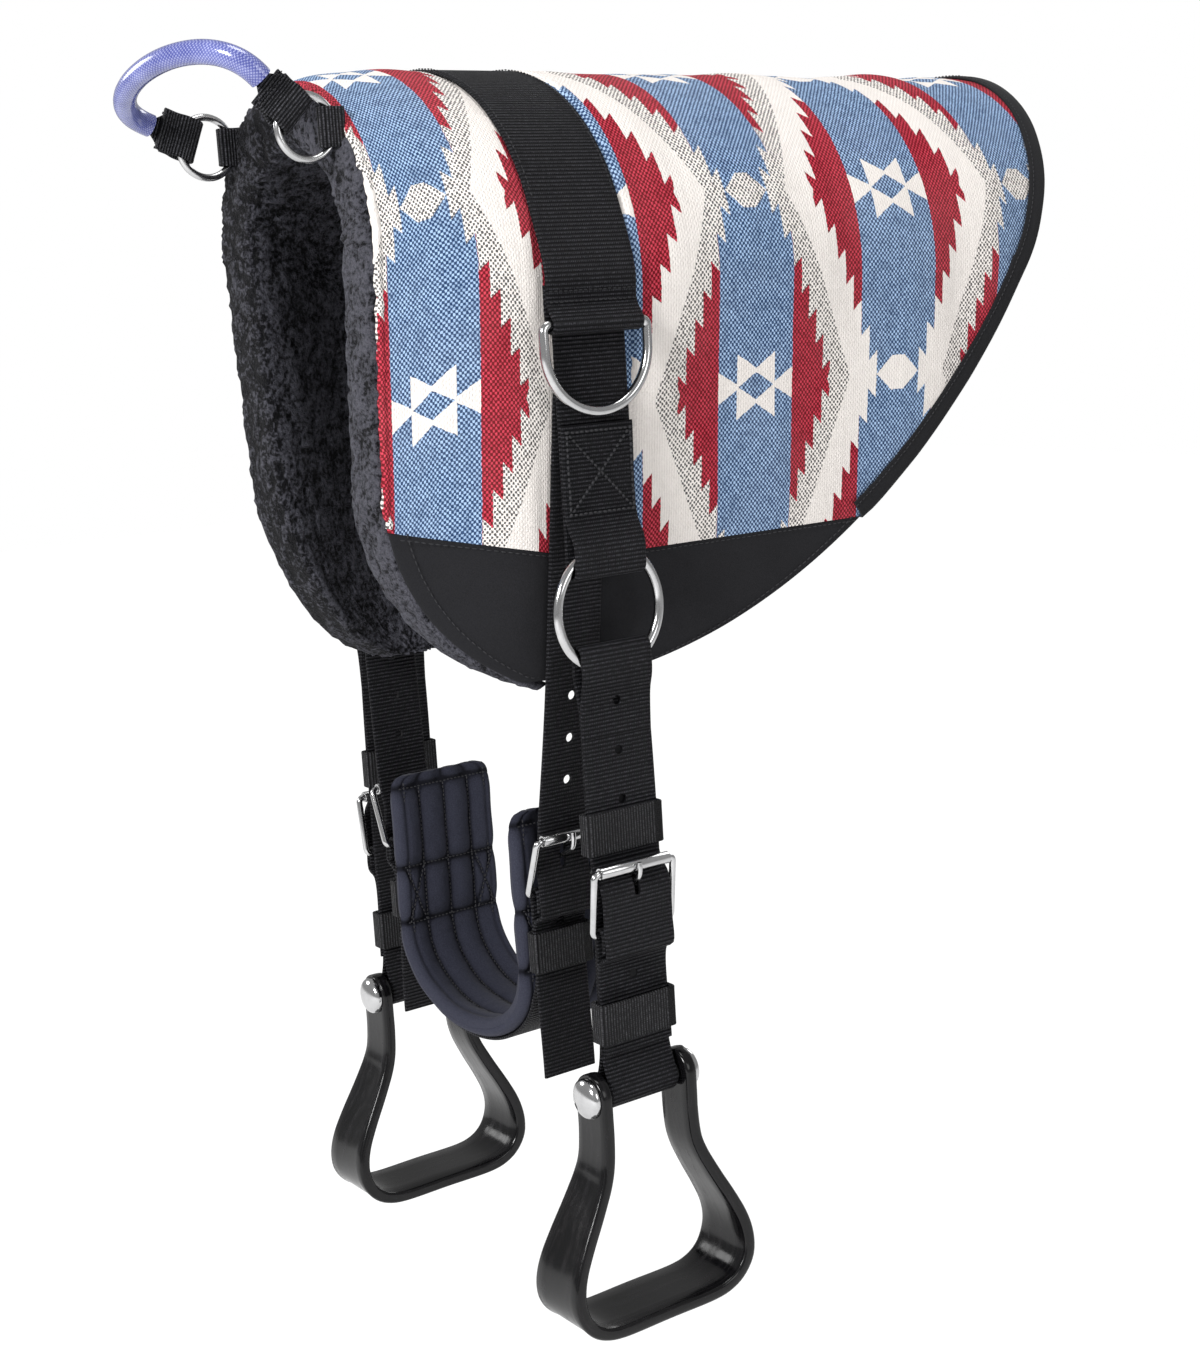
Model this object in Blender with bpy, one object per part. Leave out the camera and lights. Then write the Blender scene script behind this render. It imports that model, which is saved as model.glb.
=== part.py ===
"""Bareback pad for a pony: a bent, layered pad with a surcingle strap, dees, a grab handle,
a buckled girth and a pair of hung stirrups.

Metres, +Z up.  The horse's head is towards -Y and its left (near) side is +X.
The origin is on the pad's underside, on the crest, where the surcingle crosses it.
"""

import math

import bpy
import bmesh
from mathutils import Matrix, Vector

# Clearances and stock sizes
GAP = 0.0003
RUN_GAP = 0.0004
PLY = 0.0024
CUT_OVER = 0.0015

# Pad: the crest line, the flaps, and the layers from the outside in
CREST_FRONT = 0.114
CREST_REAR = 0.422
HEM_DROP = 0.357
SEAM_FRONT_DROP = 0.261
SEAM_REAR_DROP = 0.286
MID_HALF_WIDTH = 0.124
FRONT_HALF_WIDTH = 0.097
FRONT_STRAIGHT_LENGTH = 0.300
FRONT_REACH = 0.426
REAR_REACH = 0.432
FLAP_LEAN = math.radians(5.0)
FRONT_POWER = 1.75
REAR_POWER = 1.85
COVER_THICK = 0.0024
WEAR_THICK = 0.0021
FELT_THICK = 0.0210
FLEECE_THICK = 0.0160
FLEECE_PROUD = 0.0030
CROWN_ROWS = 15
LEAVE_SHARE = 0.77
FLAP_ROWS = 6
WEAR_ROWS = 5
COLUMN_SHARES = (0.0, 0.05, 0.11, 0.17, 0.32, 0.50, 0.68, 0.85, 1.0)

# Binding along the rear edge
BIND_WIDTH = 0.012
BIND_THICK = 0.0012
BIND_GAP = 0.0006
BIND_EDGE_GAP = 0.0010

# Webbing widths
SURCINGLE_WIDTH = 0.0635
STIRRUP_WEB_WIDTH = 0.0508
BILLET_WIDTH = 0.038
KEEPER_HEIGHT = 0.0254
HANDLE_WEB_WIDTH = 0.025
HANDLE_TAB_WIDTH = 0.022

# Upper dees
DEE_WIRE = 0.0030
DEE_HALF_WIDTH = 0.0362
DEE_BAR_DROP = 0.150
DEE_DEPTH = 0.050
DEE_CORNER = 0.0040
LOOP_TAIL = 0.022

# O-rings
RING_WIRE = 0.0030
RING_RADIUS = 0.0365
RING_DROP = 0.315
RING_STEPS = 32

# Lower straps: the top over the dee's bar, the tail over the ring's centre
LOWER_OVER_DEE = 0.027
LOWER_TAIL_RISE = 0.108
LOWER_MOUTH = 0.013

# Stirrup straps, measured down from the ring's centre
ROLLER_FALL = 0.1536
BOLT_FALL = 0.293
STRAP_TIP_FALL = 0.268
UPPER_KEEPER_FALL = 0.132
LOWER_KEEPER_FALL = 0.248
FIRST_HOLE_FALL = 0.054
HOLE_STEP = 0.030
PLAIN_HOLES = 3
TIP_HOLE_FALL = 0.222
HOLE_RADIUS = 0.0028
SLEEVE_TAPER = 0.022

# Roller buckles
FRAME_WIRE = 0.0021
FRAME_CORNER = 0.0034
FRAME_SIDE_ROOM = 0.0016
ROLLER_WALL = 0.0012
STIRRUP_FRAME_HEIGHT = 0.039
GIRTH_FRAME_HEIGHT = 0.036
HEEL_TAIL = 0.011
TONGUE_WIRE = 0.0016
TONGUE_EYE_WIDTH = 0.0050
TONGUE_EYE_WALL = 0.0014
TONGUE_SLOT_WIDTH = 0.0068
TONGUE_SLOT_LENGTH = 0.0178
TONGUE_PAST_ROLLER = 0.003

# Stirrups: a moulded band hung on a bolt
ARM_THICK = 0.0080
ARM_ROOM = 0.0026
ARM_HALF_DEPTH = 0.0145
TREAD_HALF_DEPTH = 0.0235
STIRRUP_DROP = 0.147
STIRRUP_HALF_WIDTH = 0.068
ARM_STRAIGHT = 0.036
STIRRUP_EDGE = 0.0016
SLEEVE_RADIUS = 0.0070
BOLT_RADIUS = 0.0040
DOME_RADIUS = 0.0125
DOME_HEIGHT = 0.0055
DOME_RIM = 0.0012

# Girth: measured down from the ring's centre
GIRTH_Y = -0.004
BILLET_Y = -0.018
BILLET_TOP_SHIFT = 0.013
GIRTH_WIDTH = 0.076
GIRTH_THICK = 0.013
GIRTH_HALF_SPAN = 0.071
GIRTH_TOP_FALL = 0.126
GIRTH_BEND_FALL = 0.230
GIRTH_BOTTOM_FALL = 0.278
GIRTH_CHANNELS = 4
GIRTH_ROLLER_FALL = 0.139
GIRTH_KEEPER_FALL = 0.212
GIRTH_TIP_FALL = 0.293
BILLET_TOP_RISE = 0.140
BILLET_SEWN_LENGTH = 0.003
BILLET_KNEE_FALL = 0.050
BILLET_KNEE_ROOM = 0.0032
BILLET_FIRST_HOLE_FALL = 0.052
BILLET_HOLE_STEP = 0.026
BILLET_TIP_HOLE_FALL = 0.195

# Grab handle: rings in front of the pad, a webbing arch in a tube
HANDLE_RING_X = 0.063
HANDLE_RING_RADIUS = 0.0175
HANDLE_RING_WIRE = 0.0022
HANDLE_RING_STEPS = 20
HANDLE_RING_DROP = 0.0354
NEAR_HANDLE_TILT = math.radians(45.0)
FAR_HANDLE_TILT = math.radians(21.0)
HANDLE_LEG = 0.036
HANDLE_RISE = 0.038
HANDLE_TAB_FOOT = 0.012
TUBE_RADIUS = 0.0065
TUBE_WALL = 0.0014
ROLLED_HALF_WIDTH = 0.0040
ROLLED_HALF_THICK = 0.0020

# Places that follow from the sizes above
FELT_DEPTH = COVER_THICK + GAP
FLEECE_DEPTH = FELT_DEPTH + FELT_THICK + GAP
CREST_Z = FLEECE_DEPTH + FLEECE_THICK
RING_Z = CREST_Z - RING_DROP
DEE_Z = CREST_Z - DEE_BAR_DROP
LOWER_X = MID_HALF_WIDTH + GAP + PLY / 2
RETURN_X = LOWER_X + PLY + GAP
DEE_X = RETURN_X + PLY / 2 + GAP + DEE_WIRE
RING_X = LOWER_X + PLY / 2 + GAP + RING_WIRE
PLY_STEP = PLY + RUN_GAP
BOLT_Z = RING_Z - BOLT_FALL
HANDLE_RING_Y = -CREST_FRONT - GAP - PLY - RUN_GAP - HANDLE_RING_WIRE - HANDLE_RING_RADIUS
HANDLE_RING_Z = CREST_Z - HANDLE_RING_DROP

SIDES = (("near", 1.0), ("far", -1.0))


def clear_scene():
    for obj in list(bpy.data.objects):
        bpy.data.objects.remove(obj, do_unlink=True)


def make_material(name, colour, roughness, metallic=0.0):
    material = bpy.data.materials.new(name)
    material.use_nodes = True
    shader = material.node_tree.nodes["Principled BSDF"]
    shader.inputs["Base Color"].default_value = (*colour, 1.0)
    shader.inputs["Roughness"].default_value = roughness
    shader.inputs["Metallic"].default_value = metallic
    return material


def make_materials():
    return {
        "cover": make_material("woven_cover", (0.20, 0.33, 0.48), 0.9),
        "felt": make_material("felt", (0.05, 0.05, 0.055), 0.95),
        "fleece": make_material("fleece", (0.035, 0.035, 0.045), 1.0),
        "leather": make_material("wear_leather", (0.015, 0.015, 0.016), 0.75),
        "binding": make_material("edge_binding", (0.012, 0.012, 0.013), 0.8),
        "webbing": make_material("black_webbing", (0.012, 0.012, 0.013), 0.6),
        "steel": make_material("nickel_steel", (0.72, 0.72, 0.71), 0.18, 1.0),
        "plastic": make_material("stirrup_plastic", (0.012, 0.012, 0.012), 0.3),
        "sleeve": make_material("sleeve_plastic", (0.03, 0.03, 0.03), 0.5),
        "girth": make_material("girth_cloth", (0.02, 0.022, 0.035), 0.85),
        "tube": make_material("handle_tube", (0.12, 0.14, 0.62), 0.15),
    }


def add_mesh(name, verts, faces, material, smooth_angle=40.0):
    mesh = bpy.data.meshes.new(name)
    mesh.from_pydata([tuple(v) for v in verts], [], faces)
    work = bmesh.new()
    work.from_mesh(mesh)
    bmesh.ops.recalc_face_normals(work, faces=work.faces)
    work.to_mesh(mesh)
    work.free()
    mesh.shade_smooth()
    mesh.set_sharp_from_angle(angle=math.radians(smooth_angle))
    mesh.materials.append(material)
    obj = bpy.data.objects.new(name, mesh)
    bpy.context.scene.collection.objects.link(obj)
    return obj


def hide_helper(obj):
    obj.hide_render = True
    obj.display_type = "WIRE"
    return obj


def combine(obj, helper, operation):
    boolean = obj.modifiers.new(operation.lower(), "BOOLEAN")
    boolean.operation = operation
    boolean.solver = "EXACT"
    boolean.use_self = True
    boolean.object = hide_helper(helper)
    return obj


def wire_loop(name, points, radius, material, closed=True):
    """A round wire through the points."""
    curve = bpy.data.curves.new(name, "CURVE")
    curve.dimensions = "3D"
    curve.bevel_depth = radius
    curve.bevel_resolution = 1
    curve.use_fill_caps = True
    curve.twist_mode = "MINIMUM"
    spline = curve.splines.new("POLY")
    spline.points.add(len(points) - 1)
    for point, place in zip(spline.points, points):
        point.co = (*place, 1.0)
    spline.use_cyclic_u = closed
    spline.use_smooth = True
    curve.materials.append(material)
    obj = bpy.data.objects.new(name, curve)
    bpy.context.scene.collection.objects.link(obj)
    return obj


def skin_rings(rings, closed_along=False):
    """Verts and faces for a skin over equal rings of points, with flat ends unless it closes on itself."""
    verts = [point for ring in rings for point in ring]
    count = len(rings[0])
    faces = []
    steps = len(rings) if closed_along else len(rings) - 1
    for i in range(steps):
        a = i * count
        b = ((i + 1) % len(rings)) * count
        for j in range(count):
            k = (j + 1) % count
            faces.append((a + j, a + k, b + k, b + j))
    if not closed_along:
        faces.append(tuple(range(count)))
        faces.append(tuple(reversed(range((len(rings) - 1) * count, len(rings) * count))))
    return verts, faces


def arc(centre, radius, start_deg, end_deg, steps):
    """Points (a, b) on a circle, from one angle to another."""
    points = []
    for i in range(steps + 1):
        angle = math.radians(start_deg + (end_deg - start_deg) * i / steps)
        points.append((centre[0] + radius * math.cos(angle), centre[1] + radius * math.sin(angle)))
    return points


def mitres(path, closed=False):
    """For each point of a flat path, the offset to the left per unit of distance."""
    result = []
    last = len(path) - 1
    for i, point in enumerate(path):
        before = path[i - 1] if (i > 0 or closed) else None
        after = path[(i + 1) % len(path)] if (i < last or closed) else None
        normals = []
        for a, b in ((before, point), (point, after)):
            if a is None or b is None:
                continue
            run = Vector((b[0] - a[0], b[1] - a[1])).normalized()
            normals.append(Vector((-run.y, run.x)))
        total = sum(normals, Vector((0.0, 0.0))).normalized()
        result.append(total / max(total.dot(normals[0]), 0.5))
    return result


def strap(name, path, width, material, place, thick=PLY, closed=False):
    """Flat webbing along a flat path.  place(a, b, w) turns a path point and a distance across into space.
    width and thick are one value, or one for each point."""
    widths = width if isinstance(width, (list, tuple)) else [width] * len(path)
    thicks = thick if isinstance(thick, (list, tuple)) else [thick] * len(path)
    rings = []
    for (a, b), out, across, deep in zip(path, mitres(path, closed), widths, thicks):
        left = (a + out.x * deep / 2, b + out.y * deep / 2)
        right = (a - out.x * deep / 2, b - out.y * deep / 2)
        rings.append([
            place(left[0], left[1], -across / 2),
            place(left[0], left[1], across / 2),
            place(right[0], right[1], across / 2),
            place(right[0], right[1], -across / 2),
        ])
    verts, faces = skin_rings(rings, closed)
    return add_mesh(name, verts, faces, material)


def cross_strap(side, y_centre, x_origin=0.0, z_origin=0.0):
    """place() for a strap whose path is in the X-Z plane and whose width is along Y."""
    return lambda a, b, w: Vector((side * (x_origin + a), y_centre + w, z_origin + b))


def turned(name, profile, centre, material, steps=16, direction=1.0):
    """A closed profile of (along, radius) turned about a line parallel to Y through the centre.
    Radius 0 at both ends closes the shape, otherwise the profile is a ring."""
    axis_ends = profile[0][1] == 0 and profile[-1][1] == 0
    inner = profile[1:-1] if axis_ends else profile
    rings = []
    for i in range(steps):
        angle = 2 * math.pi * i / steps
        rings.append([
            Vector((centre[0] + r * math.cos(angle), centre[1] + direction * along, centre[2] + r * math.sin(angle)))
            for along, r in inner
        ])
    count = len(inner)
    verts = [point for ring in rings for point in ring]
    faces = []
    for i in range(steps):
        a = i * count
        b = ((i + 1) % steps) * count
        spans = count - 1 if axis_ends else count
        for j in range(spans):
            k = (j + 1) % count
            faces.append((a + j, a + k, b + k, b + j))
    if axis_ends:
        for end, j in ((profile[0], 0), (profile[-1], count - 1)):
            verts.append(Vector((centre[0], centre[1] + direction * end[0], centre[2])))
            tip = len(verts) - 1
            for i in range(steps):
                faces.append((i * count + j, ((i + 1) % steps) * count + j, tip))
    return add_mesh(name, verts, faces, material)


def half_width(y):
    """The pad is full width from the surcingle back, and narrows towards the withers."""
    start = -CREST_FRONT
    end = -SURCINGLE_WIDTH / 2
    share = min(max((y - start) / (end - start), 0.0), 1.0)
    eased = share * share * (3 - 2 * share)
    return FRONT_HALF_WIDTH + (MID_HALF_WIDTH - FRONT_HALF_WIDTH) * eased


def seam_drop(y):
    """Depth below the crest of the seam between the woven cover and the wear leather."""
    share = min(max((y + CREST_FRONT) / CREST_FRONT, 0.0), 1.0)
    return SEAM_FRONT_DROP + (SEAM_REAR_DROP - SEAM_FRONT_DROP) * share


def flap_runs(y):
    """Lengths of the straight flap from the end of the crown to the seam, and from there to the hem."""
    turn = math.pi / 2 + FLAP_LEAN
    crown = half_width(y) * (1.0 - math.cos(turn))
    return (seam_drop(y) - crown) / math.sin(turn), (HEM_DROP - seam_drop(y)) / math.sin(turn)


def flap_run(y, station):
    above, below = flap_runs(y)
    return min(max(station - 1.0, 0.0), 1.0) * above + max(station - 2.0, 0.0) * below


def arc_at(y, station):
    """Distance from the crest round the outer surface to a station."""
    turn = math.pi / 2 + FLAP_LEAN
    return half_width(y) * turn * min(station, 1.0) + flap_run(y, station)


def pad_point(y, station, depth):
    """A point of the pad at y, at a depth inwards from the outer surface.  Stations run from 0 at the
    crest to 1 at the crown's end, 2 at the seam and 3 at the hem, + on the near side and - on the far."""
    radius = half_width(y)
    turn = math.pi / 2 + FLAP_LEAN
    angle = min(abs(station), 1.0) * turn
    rest = flap_run(y, abs(station))
    x = (radius - depth) * math.sin(angle) + rest * math.cos(turn)
    z = CREST_Z - radius + (radius - depth) * math.cos(angle) - rest * math.sin(turn)
    return Vector((math.copysign(x, station), y, z))


def front_edge(station):
    """y of the pad's front edge: straight, then rounding back to the hem."""
    arc_out = arc_at(-CREST_FRONT, abs(station))
    past = (arc_out - FRONT_STRAIGHT_LENGTH) / (FRONT_REACH - FRONT_STRAIGHT_LENGTH)
    past = min(max(past, 0.0), 1.0)
    return -CREST_FRONT * (1.0 - past ** FRONT_POWER) ** (1.0 / FRONT_POWER)


def rear_edge(station):
    """y of the pad's rear edge, on a superellipse from the hem to the crest."""
    share = min(arc_at(CREST_REAR, abs(station)) / REAR_REACH, 1.0)
    return CREST_REAR * (1.0 - share ** REAR_POWER) ** (1.0 / REAR_POWER)


def half_stations(with_wear):
    """Stations of the rows from the crest to the seam, and on to the hem, closer where the hem turns."""
    rows = [i / CROWN_ROWS for i in range(CROWN_ROWS + 1)]
    rows += [1.0 + i / FLAP_ROWS for i in range(1, FLAP_ROWS + 1)]
    if with_wear:
        rows += [2.0 + math.sin(math.pi / 2 * i / WEAR_ROWS) for i in range(1, WEAR_ROWS + 1)]
    return rows


def full_stations(with_wear):
    half = half_stations(with_wear)
    return [-value for value in reversed(half[1:])] + half


def sheet(name, rows, outer, inner, material, proud=0.0):
    """A layer of the pad between two depths, on rows of stations.  proud is how far it stands past
    the rear edge."""
    columns = len(COLUMN_SHARES)
    verts = []
    for station in rows:
        start = front_edge(station)
        end = rear_edge(station)
        ys = [start + (end - start) * share for share in COLUMN_SHARES]
        ys[-1] += proud
        verts += [pad_point(y, station, outer) for y in ys]
        verts += [pad_point(y, station, inner) for y in ys]
    faces = []
    last = len(rows) - 1
    for i in range(last):
        a = i * 2 * columns
        b = a + 2 * columns
        for j in range(columns - 1):
            for level in (0, columns):
                corner = level + j
                faces.append((a + corner, a + corner + 1, b + corner + 1))
                faces.append((a + corner, b + corner + 1, b + corner))
        for j in (0, columns - 1):
            faces.append((a + j, b + j, b + columns + j, a + columns + j))
    for a in (0, last * 2 * columns):
        faces += [(a + j, a + j + 1, a + columns + j + 1, a + columns + j) for j in range(columns - 1)]
    return add_mesh(name, verts, faces, material, 60.0)


def make_pad(mats):
    wear_run = flap_runs(CREST_REAR)[1]
    sheet("woven_cover", full_stations(False), 0.0, COVER_THICK, mats["cover"])
    sheet("felt_core", full_stations(True), FELT_DEPTH, FELT_DEPTH + FELT_THICK, mats["felt"])
    fleece_rows = full_stations(True)
    fleece_rows[0] -= FLEECE_PROUD / wear_run
    fleece_rows[-1] += FLEECE_PROUD / wear_run
    sheet("fleece_lining", fleece_rows, FLEECE_DEPTH, FLEECE_DEPTH + FLEECE_THICK, mats["fleece"], FLEECE_PROUD)
    for label, side in SIDES:
        rows = half_stations(True)[len(half_stations(False)) - 1:]
        rows[0] += GAP / wear_run
        rows = sorted(side * value for value in rows)
        sheet(f"wear_leather_{label}", rows, 0.0, WEAR_THICK, mats["leather"])


def make_binding(mats):
    """An angle strip over the rear edge, from one wear leather's seam to the other."""
    rows = full_stations(False)
    outline = [(rear_edge(station), math.copysign(arc_at(CREST_REAR, abs(station)), station)) for station in rows]
    outs = mitres(outline)
    drop = COVER_THICK + GAP + FELT_THICK
    profile = (
        (BIND_WIDTH, BIND_GAP),
        (BIND_WIDTH, BIND_GAP + BIND_THICK),
        (-BIND_EDGE_GAP - BIND_THICK, BIND_GAP + BIND_THICK),
        (-BIND_EDGE_GAP - BIND_THICK, -drop),
        (-BIND_EDGE_GAP, -drop),
        (-BIND_EDGE_GAP, BIND_GAP),
    )
    crown_run = arc_at(CREST_REAR, 1.0)
    above = flap_runs(CREST_REAR)[0]
    rings = []
    for station, (y, _), out in zip(rows, outline, outs):
        run = crown_run if abs(station) < 1.0 else above
        rings.append([pad_point(y + out.x * inward, station + out.y * inward / run, -up) for inward, up in profile])
    verts, faces = skin_rings(rings)
    add_mesh("rear_binding", verts, faces, mats["binding"])


def crown_path(last_row, offset):
    """Path points over the crown at the rows of the cover, offset outwards."""
    points = []
    for row in range(last_row):
        place = pad_point(0.0, row / CROWN_ROWS, -offset)
        points.append((place.x, place.z))
    return points


def make_surcingle(mats):
    """The wide strap over the pad: each end folds round a dee's bar and is sewn behind itself."""
    wrap = DEE_WIRE + GAP + PLY / 2
    outer_x = RETURN_X + PLY + GAP
    leave_row = math.ceil(CROWN_ROWS * LEAVE_SHARE)
    lower_top = DEE_Z + LOWER_OVER_DEE
    half = crown_path(leave_row, GAP + PLY / 2)
    half += [(outer_x, lower_top + PLY), (outer_x, DEE_Z + LOOP_TAIL / 2)]
    half += arc((DEE_X, DEE_Z), wrap, 30.0, -180.0, 10)
    half += [(RETURN_X, DEE_Z + LOOP_TAIL)]
    path = [(-x, z) for x, z in reversed(half[1:])] + half
    strap("surcingle_strap", path, SURCINGLE_WIDTH, mats["webbing"], cross_strap(1.0, 0.0))


def make_dee(label, side, mats):
    """A dee: a straight bar at the top and a round bow below."""
    bow_z = DEE_Z - (DEE_DEPTH - DEE_HALF_WIDTH)
    points = arc((-DEE_HALF_WIDTH + DEE_CORNER, DEE_Z - DEE_CORNER), DEE_CORNER, 180.0, 90.0, 3)
    points += arc((DEE_HALF_WIDTH - DEE_CORNER, DEE_Z - DEE_CORNER), DEE_CORNER, 90.0, 0.0, 3)
    points += arc((0.0, bow_z), DEE_HALF_WIDTH, 0.0, -180.0, 16)
    places = [Vector((side * DEE_X, y, z)) for y, z in points]
    wire_loop(f"upper_dee_{label}", places, DEE_WIRE, mats["steel"])


def make_ring(label, side, mats):
    points = [Vector((side * RING_X, y, z)) for y, z in arc((0.0, RING_Z), RING_RADIUS, 0.0, 360.0, RING_STEPS)[:-1]]
    wire_loop(f"o_ring_{label}", points, RING_WIRE, mats["steel"])


def ring_seat(radius, wire, strap_width, steps):
    """Distance from a ring's centre to the middle of a strap's fold whose edges bear on the wire."""
    inner = radius * math.cos(math.pi / steps) - wire
    return math.sqrt(inner ** 2 - (strap_width / 2) ** 2) + wire


def make_lower_strap(label, side, mats):
    """Hangs from under the surcingle, folds round the O-ring and is box-stitched to itself."""
    seat = ring_seat(RING_RADIUS, RING_WIRE, STIRRUP_WEB_WIDTH, RING_STEPS)
    wrap = RING_WIRE + GAP + PLY / 2
    front = RING_X + wrap
    clear = RING_RADIUS + RING_WIRE + GAP
    tail_x = LOWER_X + PLY_STEP
    path = [(LOWER_X, DEE_Z + LOWER_OVER_DEE - RING_Z), (LOWER_X, clear + LOWER_MOUTH)]
    path += arc((RING_X, seat), wrap, 180.0, 360.0, 10)
    path += [(front, clear), (tail_x, clear + LOWER_MOUTH), (tail_x, LOWER_TAIL_RISE)]
    strap(f"lower_strap_{label}", path, STIRRUP_WEB_WIDTH, mats["webbing"], cross_strap(side, 0.0, 0.0, RING_Z))


def punch(name, holes, slots):
    """Cutters for a strap: round holes (x_low, x_high, y, z) and boxes (low, high), as one helper object."""
    verts = []
    faces = []
    for x_low, x_high, y, z in holes:
        base = len(verts)
        rim = arc((y, z), HOLE_RADIUS, 0.0, 360.0, 8)[:-1]
        for x in (x_low, x_high):
            verts += [Vector((x, py, pz)) for py, pz in rim]
        count = len(rim)
        faces.append(tuple(base + j for j in range(count)))
        faces.append(tuple(base + count + j for j in reversed(range(count))))
        for j in range(count):
            k = (j + 1) % count
            faces.append((base + j, base + count + j, base + count + k, base + k))
    for low, high in slots:
        base = len(verts)
        verts += [Vector((x, y, z)) for x in (low[0], high[0]) for y in (low[1], high[1]) for z in (low[2], high[2])]
        for quad in ((0, 1, 3, 2), (4, 6, 7, 5), (0, 4, 5, 1), (2, 3, 7, 6), (0, 2, 6, 4), (1, 5, 7, 3)):
            faces.append(tuple(base + j for j in quad))
    return add_mesh(name, verts, faces, None)


def sided(side, x_low, x_high):
    """The same stretch of x on the near or the far side, low value first."""
    return (x_low, x_high) if side > 0 else (-x_high, -x_low)


def make_frame(name, side, y_centre, strap_width, heel, roller, material):
    """A rectangular buckle frame of round wire, from the heel bar to the roller's bar."""
    half = strap_width / 2 + FRAME_SIDE_ROOM + FRAME_WIRE
    run = Vector((roller[0] - heel[0], roller[1] - heel[1]))
    length = run.length
    run.normalize()
    low, high = FRAME_CORNER, length - FRAME_CORNER
    inset = half - FRAME_CORNER
    flat = arc((inset, high), FRAME_CORNER, 0.0, 90.0, 4) + arc((-inset, high), FRAME_CORNER, 90.0, 180.0, 4)
    flat += arc((-inset, low), FRAME_CORNER, 180.0, 270.0, 4) + arc((inset, low), FRAME_CORNER, 270.0, 360.0, 4)
    places = [Vector((side * (heel[0] + run.x * v), y_centre + u, heel[1] + run.y * v)) for u, v in flat]
    return wire_loop(name, places, FRAME_WIRE, material)


def make_roller(name, side, y_centre, strap_width, roller, material):
    bore = FRAME_WIRE + RUN_GAP
    wall = bore + ROLLER_WALL
    half = strap_width / 2 - FRAME_CORNER / 2
    profile = ((-half, bore), (-half, wall), (half, wall), (half, bore))
    return turned(name, profile, (side * roller[0], y_centre, roller[1]), material, 14)


def make_tongue(name, side, y_centre, heel, roller, material):
    """An eye on the heel bar and a shank that leans on the roller's outer side."""
    bore = FRAME_WIRE + GAP
    wall = bore + TONGUE_EYE_WALL
    half = TONGUE_EYE_WIDTH / 2
    profile = ((-half, bore), (-half, wall), (half, wall), (half, bore))
    eye = turned(name, profile, (side * heel[0], y_centre, heel[1]), material, 14)
    reach = FRAME_WIRE + RUN_GAP + ROLLER_WALL + GAP + TONGUE_WIRE
    tip = Vector((roller[0] + reach, roller[1] + TONGUE_PAST_ROLLER))
    root = Vector((heel[0] + (bore + wall) / 2 * math.cos(math.radians(60)),
                   heel[1] + (bore + wall) / 2 * math.sin(math.radians(60))))
    knee = Vector((tip.x, roller[1] - reach))
    points = [Vector((side * p.x, y_centre, p.y)) for p in (root, knee, tip)]
    rings = []
    for p in points:
        rings.append([p + Vector((side * a * TONGUE_WIRE, b * TONGUE_WIRE, 0.0)) for a, b in arc((0, 0), 1.0, 0, 360, 8)[:-1]])
    verts, faces = skin_rings(rings)
    shank = add_mesh(name + "_shank_helper", verts, faces, material)
    return combine(eye, shank, "UNION")


def keeper(name, side, y_centre, z, inner_low, inner_high, strap_width, material):
    """A loop of webbing round the plies from x inner_low to inner_high."""
    half = strap_width / 2 + RUN_GAP + PLY / 2
    low = inner_low - RUN_GAP - PLY / 2
    high = inner_high + RUN_GAP + PLY / 2
    path = [(low, -half), (high, -half), (high, half), (low, half)]
    place = lambda a, b, w: Vector((side * a, y_centre + b, z + w))
    return strap(name, path, KEEPER_HEIGHT, material, place, PLY, True)


def buckle_layout(main_x, roller_out):
    """Depths of a buckle's pieces above the ply that carries it: heel bar, tail ply, billet over the tail."""
    heel_x = main_x + PLY / 2 + GAP + FRAME_WIRE
    tail_x = heel_x + FRAME_WIRE + GAP + PLY / 2
    over_x = tail_x + PLY + RUN_GAP
    roller_x = roller_out + PLY / 2 + RUN_GAP + FRAME_WIRE + RUN_GAP + ROLLER_WALL
    return heel_x, tail_x, over_x, roller_x


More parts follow.
